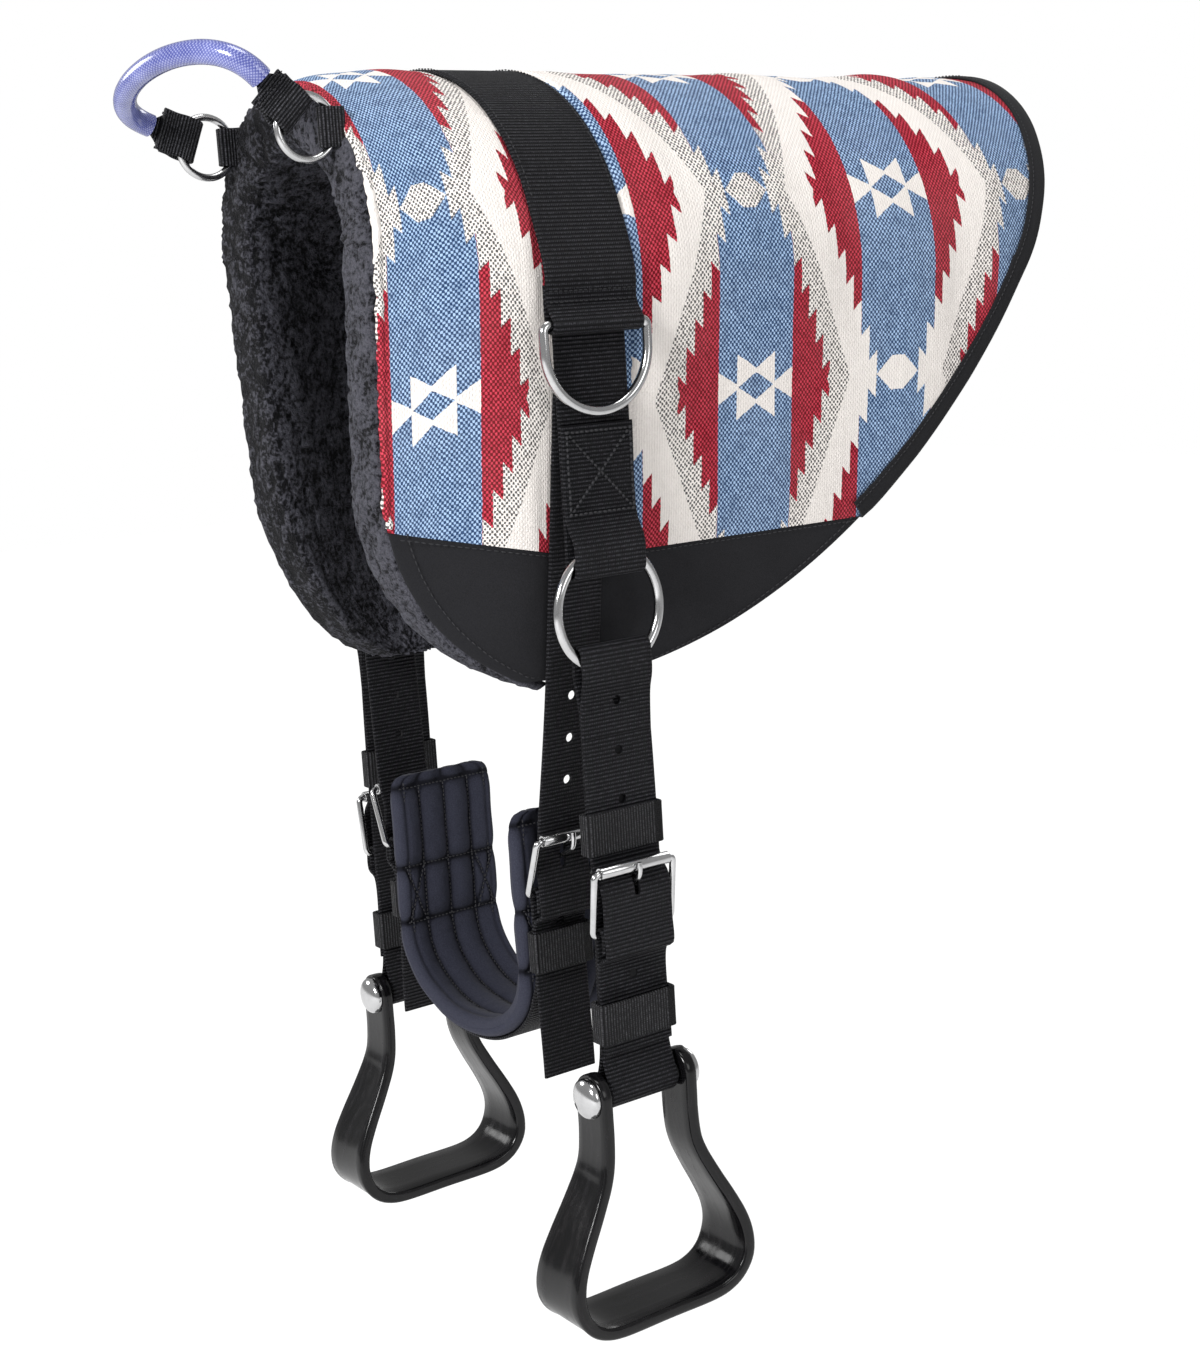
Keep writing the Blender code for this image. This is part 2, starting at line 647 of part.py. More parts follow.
def make_stirrup_strap(label, side, mats):
    """One long strap: over the O-ring, round the stirrup's sleeve, and back to its own buckle."""
    back_x = RING_X - PLY_STEP / 2
    front_x = RING_X + PLY_STEP / 2
    behind_roller = front_x + PLY * 1.4
    heel_x, tail_x, over_x, roller_x = buckle_layout(front_x, behind_roller)
    heel_z = RING_Z - ROLLER_FALL - STIRRUP_FRAME_HEIGHT
    roller_z = RING_Z - ROLLER_FALL
    tail_end = heel_z - HEEL_TAIL
    settle = tail_end - HEEL_TAIL * 0.6
    tip_x = front_x + PLY_STEP
    wrap = RING_WIRE + GAP + PLY / 2
    seat = RING_Z - ring_seat(RING_RADIUS, RING_WIRE, STIRRUP_WEB_WIDTH, RING_STEPS)
    clear = RING_Z - RING_RADIUS - RING_WIRE - GAP
    around = SLEEVE_RADIUS + RUN_GAP + PLY / 2
    heel_wrap = FRAME_WIRE + GAP + PLY / 2
    path = [(tip_x, RING_Z - STRAP_TIP_FALL), (tip_x, settle), (over_x, tail_end - PLY), (over_x, heel_z + heel_wrap)]
    path += [(behind_roller, roller_z), (front_x, roller_z + STIRRUP_FRAME_HEIGHT / 7)]
    path += [(front_x, clear - LOWER_MOUTH), (RING_X + wrap, clear)]
    path += arc((RING_X, seat), wrap, 0.0, 180.0, 10)
    path += [(RING_X - wrap, clear), (back_x, clear - LOWER_MOUTH), (back_x, BOLT_Z + SLEEVE_TAPER)]
    path += arc((RING_X, BOLT_Z), around, 162.0, 378.0, 14)
    path += [(front_x, BOLT_Z + SLEEVE_TAPER), (front_x, heel_z)]
    path += arc((heel_x, heel_z), heel_wrap, 180.0, 0.0, 8)[1:]
    path += [(tail_x, tail_end)]
    web = strap(f"stirrup_strap_{label}", path, STIRRUP_WEB_WIDTH, mats["webbing"], cross_strap(side, 0.0))

    holes = [(*sided(side, RING_X, front_x + PLY), 0.0, RING_Z - fall) for fall in
             (FIRST_HOLE_FALL + HOLE_STEP * i for i in range(PLAIN_HOLES))]
    over_low = over_x - PLY / 2 - RUN_GAP / 2
    tip_low = front_x + PLY / 2 + RUN_GAP / 2
    holes.append((*sided(side, tip_low, over_x + PLY), 0.0, RING_Z - TIP_HOLE_FALL))
    eye_half = TONGUE_SLOT_WIDTH / 2
    eye_reach = heel_wrap + PLY / 2
    eye_top = heel_z + eye_reach + CUT_OVER
    slot_low = heel_z + FRAME_WIRE + PLY / 2
    eye_low, eye_high = sided(side, front_x - PLY / 2 - RUN_GAP / 2, over_low)
    web_low, web_high = sided(side, front_x + PLY / 2, over_x + PLY)
    slots = [
        ((eye_low, -eye_half, heel_z - eye_reach), (eye_high, eye_half, eye_top)),
        ((web_low, -eye_half, slot_low), (web_high, eye_half, slot_low + TONGUE_SLOT_LENGTH)),
    ]
    combine(web, punch(f"stirrup_strap_cutter_{label}", holes, slots), "DIFFERENCE")

    heel = (heel_x, heel_z)
    roller = (roller_x, roller_z)
    make_frame(f"stirrup_buckle_{label}", side, 0.0, STIRRUP_WEB_WIDTH, heel, roller, mats["steel"])
    make_roller(f"stirrup_roller_{label}", side, 0.0, STIRRUP_WEB_WIDTH, roller, mats["steel"])
    make_tongue(f"stirrup_tongue_{label}", side, 0.0, heel, roller, mats["steel"])
    keeper(f"upper_keeper_{label}", side, 0.0, RING_Z - UPPER_KEEPER_FALL, back_x - PLY / 2, front_x + PLY / 2,
           STIRRUP_WEB_WIDTH, mats["webbing"])
    keeper(f"lower_keeper_{label}", side, 0.0, RING_Z - LOWER_KEEPER_FALL, back_x - PLY / 2, tip_x + PLY / 2,
           STIRRUP_WEB_WIDTH, mats["webbing"])


def stirrup_path():
    """Half of the stirrup's middle line, from the arm's top to the middle of the tread, as (y, z, half depth)."""
    arm_y = STIRRUP_WEB_WIDTH / 2 + ARM_ROOM + ARM_THICK / 2
    wide_y = STIRRUP_HALF_WIDTH - ARM_THICK / 2
    tread_z = BOLT_Z - STIRRUP_DROP + ARM_THICK / 2
    points = []
    for angle in (14.0, 34.0, 56.0, 78.0, 90.0):
        rise = ARM_HALF_DEPTH * math.cos(math.radians(angle))
        points.append((arm_y, BOLT_Z + rise, ARM_HALF_DEPTH * math.sin(math.radians(angle))))
    flare_top = BOLT_Z - ARM_STRAIGHT
    corner_shares = ((0.0, 0.0), (0.14, 0.14), (0.34, 0.28), (0.56, 0.42), (0.76, 0.55), (0.90, 0.66),
                     (0.98, 0.76), (1.0, 0.84), (0.97, 0.91), (0.90, 0.96), (0.79, 0.99), (0.62, 1.0))
    for across, down in corner_shares:
        y = arm_y + (wide_y - arm_y) * across if down < 0.8 else wide_y * across
        depth = ARM_HALF_DEPTH + (TREAD_HALF_DEPTH - ARM_HALF_DEPTH) * min(down / 0.8, 1.0)
        points.append((y, flare_top + (tread_z - flare_top) * down, depth))
    points.append((0.0, tread_z, TREAD_HALF_DEPTH))
    return points


def make_stirrup(label, side, mats):
    half = stirrup_path()
    line = half + [(-y, z, depth) for y, z, depth in reversed(half[:-1])]
    outs = mitres([(y, z) for y, z, _ in line])
    rings = []
    for (y, z, depth), out in zip(line, outs):
        ring = []
        edge = min(STIRRUP_EDGE, depth / 2)
        thick = ARM_THICK / 2
        for across, deep in ((-thick, depth - edge), (-thick + edge, depth), (thick - edge, depth), (thick, depth - edge),
                             (thick, -depth + edge), (thick - edge, -depth), (-thick + edge, -depth), (-thick, -depth + edge)):
            ring.append(Vector((side * RING_X + deep, y + out.x * across, z + out.y * across)))
        rings.append(ring)
    verts, faces = skin_rings(rings)
    body = add_mesh(f"stirrup_{label}", verts, faces, mats["plastic"], 50.0)
    reach = STIRRUP_WEB_WIDTH / 2 + ARM_ROOM + ARM_THICK + CUT_OVER
    bore = BOLT_RADIUS + GAP
    profile = ((-reach, 0.0), (-reach, bore), (reach, bore), (reach, 0.0))
    cutter = turned(f"stirrup_cutter_{label}", profile, (side * RING_X, 0.0, BOLT_Z), None, 16)
    combine(body, cutter, "DIFFERENCE")


def make_stirrup_bolt(label, side, mats):
    """A domed bolt from the front, a sleeve for the strap, and a domed nut at the back."""
    inner = STIRRUP_WEB_WIDTH / 2 + ARM_ROOM
    outer = inner + ARM_THICK + GAP
    centre = (side * RING_X, 0.0, BOLT_Z)
    dome = [(DOME_RIM + DOME_HEIGHT * math.sin(math.radians(a)), DOME_RADIUS * math.cos(math.radians(a)))
            for a in (0.0, 25.0, 48.0, 70.0)]
    tip = (DOME_RIM + DOME_HEIGHT, 0.0)
    bolt = [(-outer - tip[0], 0.0)]
    bolt += [(-outer - along, r) for along, r in reversed(dome)]
    bolt += [(-outer, DOME_RADIUS), (-outer, BOLT_RADIUS), (outer - CUT_OVER, BOLT_RADIUS), (outer - CUT_OVER, 0.0)]
    turned(f"stirrup_bolt_{label}", bolt, centre, mats["steel"], 20)
    nut = [(outer, 0.0), (outer, DOME_RADIUS)] + [(outer + along, r) for along, r in dome] + [(outer + tip[0], 0.0)]
    turned(f"stirrup_nut_{label}", nut, centre, mats["steel"], 20)
    half = inner - GAP
    bore = BOLT_RADIUS + GAP
    sleeve = ((-half, bore), (-half, SLEEVE_RADIUS), (half, SLEEVE_RADIUS), (half, bore))
    turned(f"stirrup_sleeve_{label}", sleeve, centre, mats["sleeve"], 20)


def girth_line(offset):
    """The girth's U, from the near top to the far top, offset outwards, as (x, z)."""
    top = RING_Z - GIRTH_TOP_FALL
    bend = RING_Z - GIRTH_BEND_FALL
    drop = GIRTH_BOTTOM_FALL - GIRTH_BEND_FALL
    steps = 14
    leg = [(GIRTH_HALF_SPAN, top + (bend - top) * i / 3) for i in range(3)]
    bow = []
    for i in range(steps + 1):
        angle = math.pi * i / steps
        bow.append((GIRTH_HALF_SPAN * math.cos(angle), bend - drop * math.sin(angle)))
    line = leg + bow + [(-x, z) for x, z in reversed(leg)]
    outs = mitres(line)
    return [(x + out.x * offset, z + out.y * offset) for (x, z), out in zip(line, outs)]


def girth_section():
    """Across the girth: (y share, out share) with sewn channels inside and a low crown outside."""
    inside = []
    for channel in range(GIRTH_CHANNELS):
        left = -1.0 + 2.0 * channel / GIRTH_CHANNELS
        step = 2.0 / GIRTH_CHANNELS
        shares = ((0.0, 0.66), (0.28, 0.96), (0.72, 0.96))
        inside += [(left + step * across, -full) for across, full in shares]
    inside[0] = (-1.0, -0.35)
    inside.append((1.0, -0.35))
    outside = [(1.0, 0.35), (0.86, 0.85), (0.45, 1.0), (-0.45, 1.0), (-0.86, 0.85), (-1.0, 0.35)]
    return inside + outside


def make_girth(mats):
    line = girth_line(0.0)
    outs = mitres(line)
    section = girth_section()
    rings = []
    last = len(line) - 1
    for i, ((x, z), out) in enumerate(zip(line, outs)):
        full = 0.62 if i in (0, last) else 1.0
        rings.append([
            Vector((x + out.x * deep * full * GIRTH_THICK / 2, GIRTH_Y + across * GIRTH_WIDTH / 2,
                    z + out.y * deep * full * GIRTH_THICK / 2))
            for across, deep in section
        ])
    verts, faces = skin_rings(rings)
    add_mesh("girth_pad", verts, faces, mats["girth"], 70.0)


def girth_layout():
    """Depths of the girth's outer pieces: the webbing on the leg, then the buckle's pieces."""
    web_x = GIRTH_HALF_SPAN + GIRTH_THICK / 2 + RUN_GAP + PLY + RUN_GAP + PLY / 2
    behind_roller = web_x + PLY_STEP * 4.2
    return (web_x, behind_roller, *buckle_layout(web_x, behind_roller))


def make_girth_webbing(mats):
    """Webbing under the girth pad; each end folds round a girth buckle's heel bar."""
    web_x, _, heel_x, tail_x, _, _ = girth_layout()
    heel_z = RING_Z - GIRTH_ROLLER_FALL - GIRTH_FRAME_HEIGHT
    wrap = FRAME_WIRE + GAP + PLY / 2
    leave = RING_Z - GIRTH_BEND_FALL
    bow = [(x, z) for x, z in girth_line(GIRTH_THICK / 2 + GAP + PLY / 2) if z < leave - GIRTH_THICK]
    near = [(tail_x, heel_z - HEEL_TAIL)] + arc((heel_x, heel_z), wrap, 0.0, 180.0, 8)
    near += [(web_x, heel_z), (web_x, leave)]
    near = near[:1] + near[1:-2] + [(web_x, leave)]
    path = near + bow + [(-x, z) for x, z in reversed(near)]
    web = strap("girth_webbing", path, BILLET_WIDTH, mats["webbing"], cross_strap(1.0, BILLET_Y))
    half = TONGUE_SLOT_WIDTH / 2
    reach = wrap + PLY / 2
    slots = []
    for _, side in SIDES:
        low, high = sided(side, web_x - PLY / 2 - RUN_GAP / 2, tail_x + PLY / 2 + RUN_GAP / 2)
        slots.append(((low, BILLET_Y - half, heel_z - reach), (high, BILLET_Y + half, heel_z + reach + CUT_OVER)))
    combine(web, punch("girth_webbing_cutter", [], slots), "DIFFERENCE")


def make_billet(label, side, mats):
    """The girth strap: from under the lower strap, down the flap, through the girth buckle."""
    web_x, behind_roller, heel_x, tail_x, over_x, roller_x = girth_layout()
    top_x = LOWER_X - PLY / 2 - GAP - PLY / 2
    top_z = RING_Z + BILLET_TOP_RISE
    knee_z = RING_Z - BILLET_KNEE_FALL
    flap = pad_point(0.0, 1.0, 0.0)
    knee_x = flap.x - (flap.z - knee_z) * math.tan(FLAP_LEAN) + BILLET_KNEE_ROOM
    roller_z = RING_Z - GIRTH_ROLLER_FALL
    heel_z = roller_z - GIRTH_FRAME_HEIGHT
    tail_end = heel_z - HEEL_TAIL
    tip_x = web_x + PLY_STEP
    path = [(top_x, top_z), (knee_x, knee_z), (behind_roller + PLY, roller_z + GIRTH_FRAME_HEIGHT / 3)]
    path += [(behind_roller, roller_z), (over_x, heel_z + FRAME_WIRE + PLY), (over_x, tail_end - PLY)]
    path += [(tip_x, tail_end - HEEL_TAIL * 0.6), (tip_x, RING_Z - GIRTH_TIP_FALL)]
    lean_from = roller_z + GIRTH_FRAME_HEIGHT / 3

    def lean(z):
        return BILLET_Y + BILLET_TOP_SHIFT * max(z - lean_from, 0.0) / (top_z - lean_from)

    place = lambda x, z, w: Vector((side * x, lean(z) + w, z))
    web = strap(f"billet_{label}", path, BILLET_WIDTH, mats["webbing"], place)
    half = TONGUE_SLOT_WIDTH / 2
    slot_low = heel_z + FRAME_WIRE + PLY / 2
    low, high = sided(side, web_x + PLY, knee_x + PLY)
    slots = [((low, BILLET_Y - half, slot_low), (high, BILLET_Y + half, slot_low + TONGUE_SLOT_LENGTH))]
    low, high = sided(side, behind_roller - PLY, top_x + PLY)
    levels = [RING_Z - BILLET_FIRST_HOLE_FALL - BILLET_HOLE_STEP * i for i in range(PLAIN_HOLES)]
    holes = [(low, high, lean(z), z) for z in levels]
    low, high = sided(side, web_x + PLY / 2 + RUN_GAP / 2, over_x + PLY)
    holes.append((low, high, BILLET_Y, RING_Z - BILLET_TIP_HOLE_FALL))
    combine(web, punch(f"billet_cutter_{label}", holes, slots), "DIFFERENCE")

    heel = (heel_x, heel_z)
    roller = (roller_x, roller_z)
    make_frame(f"girth_buckle_{label}", side, BILLET_Y, BILLET_WIDTH, heel, roller, mats["steel"])
    make_roller(f"girth_roller_{label}", side, BILLET_Y, BILLET_WIDTH, roller, mats["steel"])
    make_tongue(f"girth_tongue_{label}", side, BILLET_Y, heel, roller, mats["steel"])
    keeper(f"girth_keeper_{label}", side, BILLET_Y, RING_Z - GIRTH_KEEPER_FALL, web_x - PLY / 2, tip_x + PLY / 2,
           BILLET_WIDTH, mats["webbing"])


def handle_point(x, along, across):
    """A point of the handle: along runs forwards and up from the rings, across is square to it.
    The tube has taken a set, so that the far end of the arch lies lower than the near end."""
    tilt = NEAR_HANDLE_TILT + (FAR_HANDLE_TILT - NEAR_HANDLE_TILT) * (1 - x / (HANDLE_RING_X + PLY_STEP / 2)) / 2
    u = Vector((0.0, -math.cos(tilt), math.sin(tilt)))
    w = Vector((0.0, math.sin(tilt), math.cos(tilt)))
    return Vector((x, HANDLE_RING_Y, HANDLE_RING_Z)) + u * along + w * across


def handle_arch(steps):
    """Half ellipse from the near leg over to the far leg, as (x, along)."""
    leg_x = HANDLE_RING_X + PLY_STEP / 2
    points = []
    for i in range(steps + 1):
        angle = math.pi * i / steps
        points.append((leg_x * math.cos(angle), HANDLE_LEG + HANDLE_RISE * math.sin(angle)))
    return points


def make_handle(mats):
    seat = ring_seat(HANDLE_RING_RADIUS, HANDLE_RING_WIRE, HANDLE_WEB_WIDTH, HANDLE_RING_STEPS)
    wrap = HANDLE_RING_WIRE + GAP + PLY / 2
    in_x = HANDLE_RING_X - PLY_STEP / 2
    out_x = HANDLE_RING_X + PLY_STEP / 2
    clear = HANDLE_RING_RADIUS + HANDLE_RING_WIRE + GAP
    mouth = clear + PLY
    end = [(in_x, HANDLE_LEG - PLY * 2, 1.0, 1.0), (in_x, mouth, 1.0, 1.0), (HANDLE_RING_X - wrap, clear - PLY, 1.0, 1.0)]
    end += [(x, z, 1.0, 1.0) for x, z in arc((HANDLE_RING_X, seat), wrap, 180.0, 360.0, 8)]
    end += [(HANDLE_RING_X + wrap, clear - PLY, 1.0, 1.0), (out_x, mouth, 1.0, 1.0), (out_x, HANDLE_LEG - PLY * 3, 1.0, 1.0)]
    arch = [(x, along, 0.0, 0.0) for x, along in handle_arch(16)]
    stations = end + arch + [(-x, along, a, b) for x, along, a, b in reversed(end)]
    path = [(x, along) for x, along, _, _ in stations]
    widths = [HANDLE_WEB_WIDTH if flat else 2 * ROLLED_HALF_WIDTH for _, _, flat, _ in stations]
    thicks = [PLY if flat else 2 * ROLLED_HALF_THICK for _, _, _, flat in stations]
    strap("handle_webbing", path, widths, mats["webbing"], handle_point, thicks)

    line = handle_arch(16)
    outs = mitres(line)
    rings = []
    for (x, along), out in zip(line, outs):
        ring = []
        for radius, angles in ((TUBE_RADIUS, range(0, 10)), (TUBE_RADIUS - TUBE_WALL, range(0, 10))):
            for k in angles:
                turn = 2 * math.pi * k / 10
                off = radius * math.cos(turn)
                ring.append(handle_point(x + out.x * off, along + out.y * off, radius * math.sin(turn)))
        rings.append(ring)
    verts = [point for ring in rings for point in ring]
    faces = []
    for i in range(len(rings) - 1):
        for shell in (0, 10):
            for k in range(10):
                a = i * 20 + shell + k
                b = i * 20 + shell + (k + 1) % 10
                faces.append((a, b, b + 20, a + 20))
    for base in (0, (len(rings) - 1) * 20):
        for k in range(10):
            j = (k + 1) % 10
            faces.append((base + k, base + j, base + 10 + j, base + 10 + k))
    add_mesh("handle_tube", verts, faces, mats["tube"], 50.0)

    for label, side in SIDES:
        ring = [Vector((side * HANDLE_RING_X, HANDLE_RING_Y + y, HANDLE_RING_Z + z))
                for y, z in arc((0.0, 0.0), HANDLE_RING_RADIUS, 0.0, 360.0, HANDLE_RING_STEPS)[:-1]]
        wire_loop(f"handle_ring_{label}", ring, HANDLE_RING_WIRE, mats["steel"])
        make_handle_tab(label, side, mats)


def make_handle_tab(label, side, mats):
    """Two plies sewn to the pad's front edge, with the fold between them round the handle's ring."""
    seat = ring_seat(HANDLE_RING_RADIUS, HANDLE_RING_WIRE, HANDLE_TAB_WIDTH, HANDLE_RING_STEPS)
    wrap = HANDLE_RING_WIRE + GAP + PLY / 2
    face = -CREST_FRONT - GAP - PLY / 2
    loop_y = HANDLE_RING_Y + seat
    foot = wrap + HANDLE_TAB_FOOT
    path = [(-foot, face), (wrap, face)]
    path += arc((0.0, loop_y), wrap, 0.0, -180.0, 8)
    path += [(-wrap - PLY, face - PLY_STEP), (-foot, face - PLY_STEP)]
    place = lambda a, b, w: Vector((side * (HANDLE_RING_X + a), b, HANDLE_RING_Z + w))
    strap(f"handle_tab_{label}", path, HANDLE_TAB_WIDTH, mats["webbing"], place)


def joint_places():
    """Every moving piece, with a point on the line that it turns about or slides along."""
    web_x, behind_girth_roller, girth_heel_x, _, _, girth_roller_x = girth_layout()
    front_x = RING_X + PLY_STEP / 2
    heel_x, _, _, roller_x = buckle_layout(front_x, front_x + PLY * 1.4)
    roller_z = RING_Z - ROLLER_FALL
    girth_roller_z = RING_Z - GIRTH_ROLLER_FALL
    handle = Vector((0.0, HANDLE_RING_Y, HANDLE_RING_Z))
    hinge = Vector((0.0, BILLET_Y + BILLET_TOP_SHIFT - BILLET_SEWN_LENGTH, RING_Z + BILLET_TOP_RISE - BILLET_SEWN_LENGTH))
    places = {name: handle for name in ("handle_webbing", "handle_tube", "handle_ring_near", "handle_ring_far")}
    places.update({name: hinge for name in ("girth_pad", "girth_webbing")})
    for label, side in SIDES:
        ring = Vector((side * RING_X, 0.0, RING_Z))
        bolt = Vector((side * RING_X, 0.0, BOLT_Z))
        places[f"upper_dee_{label}"] = Vector((side * DEE_X, 0.0, DEE_Z))
        for piece in ("o_ring", "stirrup_strap", "stirrup_buckle"):
            places[f"{piece}_{label}"] = ring
        for piece in ("stirrup", "stirrup_bolt", "stirrup_nut", "stirrup_sleeve"):
            places[f"{piece}_{label}"] = bolt
        for piece in ("billet", "girth_buckle"):
            places[f"{piece}_{label}"] = hinge
        places[f"stirrup_roller_{label}"] = Vector((side * roller_x, 0.0, roller_z))
        places[f"stirrup_tongue_{label}"] = Vector((side * heel_x, 0.0, roller_z - STIRRUP_FRAME_HEIGHT))
        places[f"upper_keeper_{label}"] = Vector((side * front_x, 0.0, RING_Z - UPPER_KEEPER_FALL))
        places[f"lower_keeper_{label}"] = Vector((side * front_x, 0.0, RING_Z - LOWER_KEEPER_FALL))
        places[f"girth_roller_{label}"] = Vector((side * girth_roller_x, BILLET_Y, girth_roller_z))
        places[f"girth_tongue_{label}"] = Vector((side * girth_heel_x, BILLET_Y, girth_roller_z - GIRTH_FRAME_HEIGHT))
        places[f"girth_keeper_{label}"] = Vector((side * web_x, BILLET_Y, RING_Z - GIRTH_KEEPER_FALL))
    return places


def put_origins_on_joints():
    for name, place in joint_places().items():
        obj = bpy.data.objects[name]
        obj.data.transform(Matrix.Translation(-place))
        obj.location = place


def build():
    clear_scene()
    mats = make_materials()
    make_pad(mats)
    make_binding(mats)
    make_surcingle(mats)
    make_girth(mats)
    make_girth_webbing(mats)
    make_handle(mats)
    for label, side in SIDES:
        make_dee(label, side, mats)
        make_ring(label, side, mats)
        make_lower_strap(label, side, mats)
        make_stirrup_strap(label, side, mats)
        make_stirrup(label, side, mats)
        make_stirrup_bolt(label, side, mats)
        make_billet(label, side, mats)
    put_origins_on_joints()


build()
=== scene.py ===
"""Bareback pad as it hangs: woven cover over felt, curly fleece lining, suede, webbing, nickel
hardware, moulded stirrups and a quilted girth.  Metres, +Z up, the horse's head towards -Y."""

import math

import bmesh
import bpy
import numpy as np
from mathutils import Matrix, Vector, noise


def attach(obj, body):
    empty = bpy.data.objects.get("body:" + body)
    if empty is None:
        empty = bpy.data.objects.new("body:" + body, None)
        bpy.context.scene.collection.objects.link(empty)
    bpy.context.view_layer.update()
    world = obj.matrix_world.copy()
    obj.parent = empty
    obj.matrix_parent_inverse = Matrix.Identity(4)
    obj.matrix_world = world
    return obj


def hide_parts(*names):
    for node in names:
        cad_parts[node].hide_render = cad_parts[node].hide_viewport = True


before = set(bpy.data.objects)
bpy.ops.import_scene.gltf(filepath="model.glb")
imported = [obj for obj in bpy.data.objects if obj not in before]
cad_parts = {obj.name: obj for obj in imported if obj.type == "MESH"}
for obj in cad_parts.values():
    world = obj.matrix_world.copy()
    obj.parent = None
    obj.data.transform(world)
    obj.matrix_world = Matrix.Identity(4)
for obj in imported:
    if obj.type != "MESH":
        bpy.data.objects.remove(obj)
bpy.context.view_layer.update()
scene = bpy.context.scene
noise.seed_set(7)  # noise_vector is seeded from the clock otherwise

# Pad
CREST_FRONT, CREST_REAR, HEM_DROP = 0.114, 0.422, 0.357  # ahead of and behind the surcingle's middle
SEAM_FRONT_DROP, SEAM_REAR_DROP = 0.261, 0.286
MID_HALF_WIDTH, FRONT_HALF_WIDTH = 0.124, 0.097
FRONT_STRAIGHT_LENGTH, FRONT_REACH, REAR_REACH = 0.300, 0.426, 0.432
FLAP_SLOPE = math.radians(5.0)
TURN = math.pi / 2 + FLAP_SLOPE
FRONT_POWER, REAR_POWER = 1.75, 1.85
PAD_THICK = 0.0400
CREST_Z = 0.0400
FELT_FACE, FLEECE_FACE = 0.0027, 0.0240

# Webbing
PLY, GAP, LAP, THREAD_LIFT = 0.0024, 0.0003, 0.0004, 0.0002
LAP_STEP = PLY + LAP
SURCINGLE_WIDTH, STIRRUP_WEB, BILLET_WIDTH = 0.0635, 0.0508, 0.038
HANDLE_WEB, TAB_WIDTH = 0.025, 0.022
KEEPER_HEIGHT = 0.0254
EYELET, TONGUE_SLOT, SHANK_SLOT = 0.0029, 0.0032, 0.0021

# Places
LOWER_X, RETURN_X, DEE_X, RING_X = 0.1255, 0.1282, 0.1327, 0.1300
RING_Z, DEE_Z, BOLT_Z = -0.275, -0.110, -0.568
RING_RADIUS, RING_WIRE, DEE_WIRE = 0.0365, 0.0030, 0.0030
BUCKLE_WIRE, TONGUE_WIRE = 0.0021, 0.0016
GRIP_RING, GRIP_WIRE = 0.0175, 0.0022
SLEEVE_RADIUS, STIRRUP_DROP = 0.0070, 0.147
ARM_Y, ARM_THICK = STIRRUP_WEB / 2 + 0.0026, 0.008
ROLLER_Z, HEEL_Z = RING_Z - 0.1536, RING_Z - 0.1926
BILLET_Y, GIRTH_Y = -0.018, -0.004
GIRTH_SPAN, GIRTH_THICK, GIRTH_WIDTH = 0.071, 0.013, 0.076
GIRTH_BEND = RING_Z - 0.230
HANDLE_X, HANDLE_Y, HANDLE_Z = 0.063, -0.1368, 0.0046
NEAR_TILT, FAR_TILT, HANDLE_LEG, HANDLE_RISE = math.radians(45.0), math.radians(21.0), 0.036, 0.038
TUBE_RADIUS, TUBE_BORE = 0.0065, 0.0051
SIDES = (("near", 1.0), ("far", -1.0))

# Camera and light
CAMERA_PLACE, FOCAL_PIXELS, PICTURE_HEIGHT = (1.1037, -0.6987, -0.0912), 2074.8, 1371.0
WHITE_AROUND = 0.38


# Shader building

class Ink:
    """A shader socket that takes part in arithmetic."""

    def __init__(self, paint, socket):
        self.paint, self.socket = paint, socket

    def math(self, operation, *others):
        node = self.paint.tree.nodes.new("ShaderNodeMath")
        node.operation = operation
        for slot, value in zip(node.inputs, (self, *others)):
            self.paint.feed(slot, value)
        return Ink(self.paint, node.outputs[0])

    def __rsub__(self, other):
        return self.paint.number(other).math("SUBTRACT", self)

    def clamp(self):
        return self.high(0.0).low(1.0)

    def wave(self, period):
        return (self * (2 * math.pi / period)).sin()


def ink_method(operation):
    return lambda self, *others: self.math(operation, *others)


for method, sum_kind in {"__add__": "ADD", "__radd__": "ADD", "__sub__": "SUBTRACT", "__mul__": "MULTIPLY",
                         "__rmul__": "MULTIPLY", "__truediv__": "DIVIDE", "__lt__": "LESS_THAN",
                         "__gt__": "GREATER_THAN", "abs": "ABSOLUTE", "floor": "FLOOR", "sin": "SINE",
                         "mod": "FLOORED_MODULO", "low": "MINIMUM", "high": "MAXIMUM"}.items():
    setattr(Ink, method, ink_method(sum_kind))


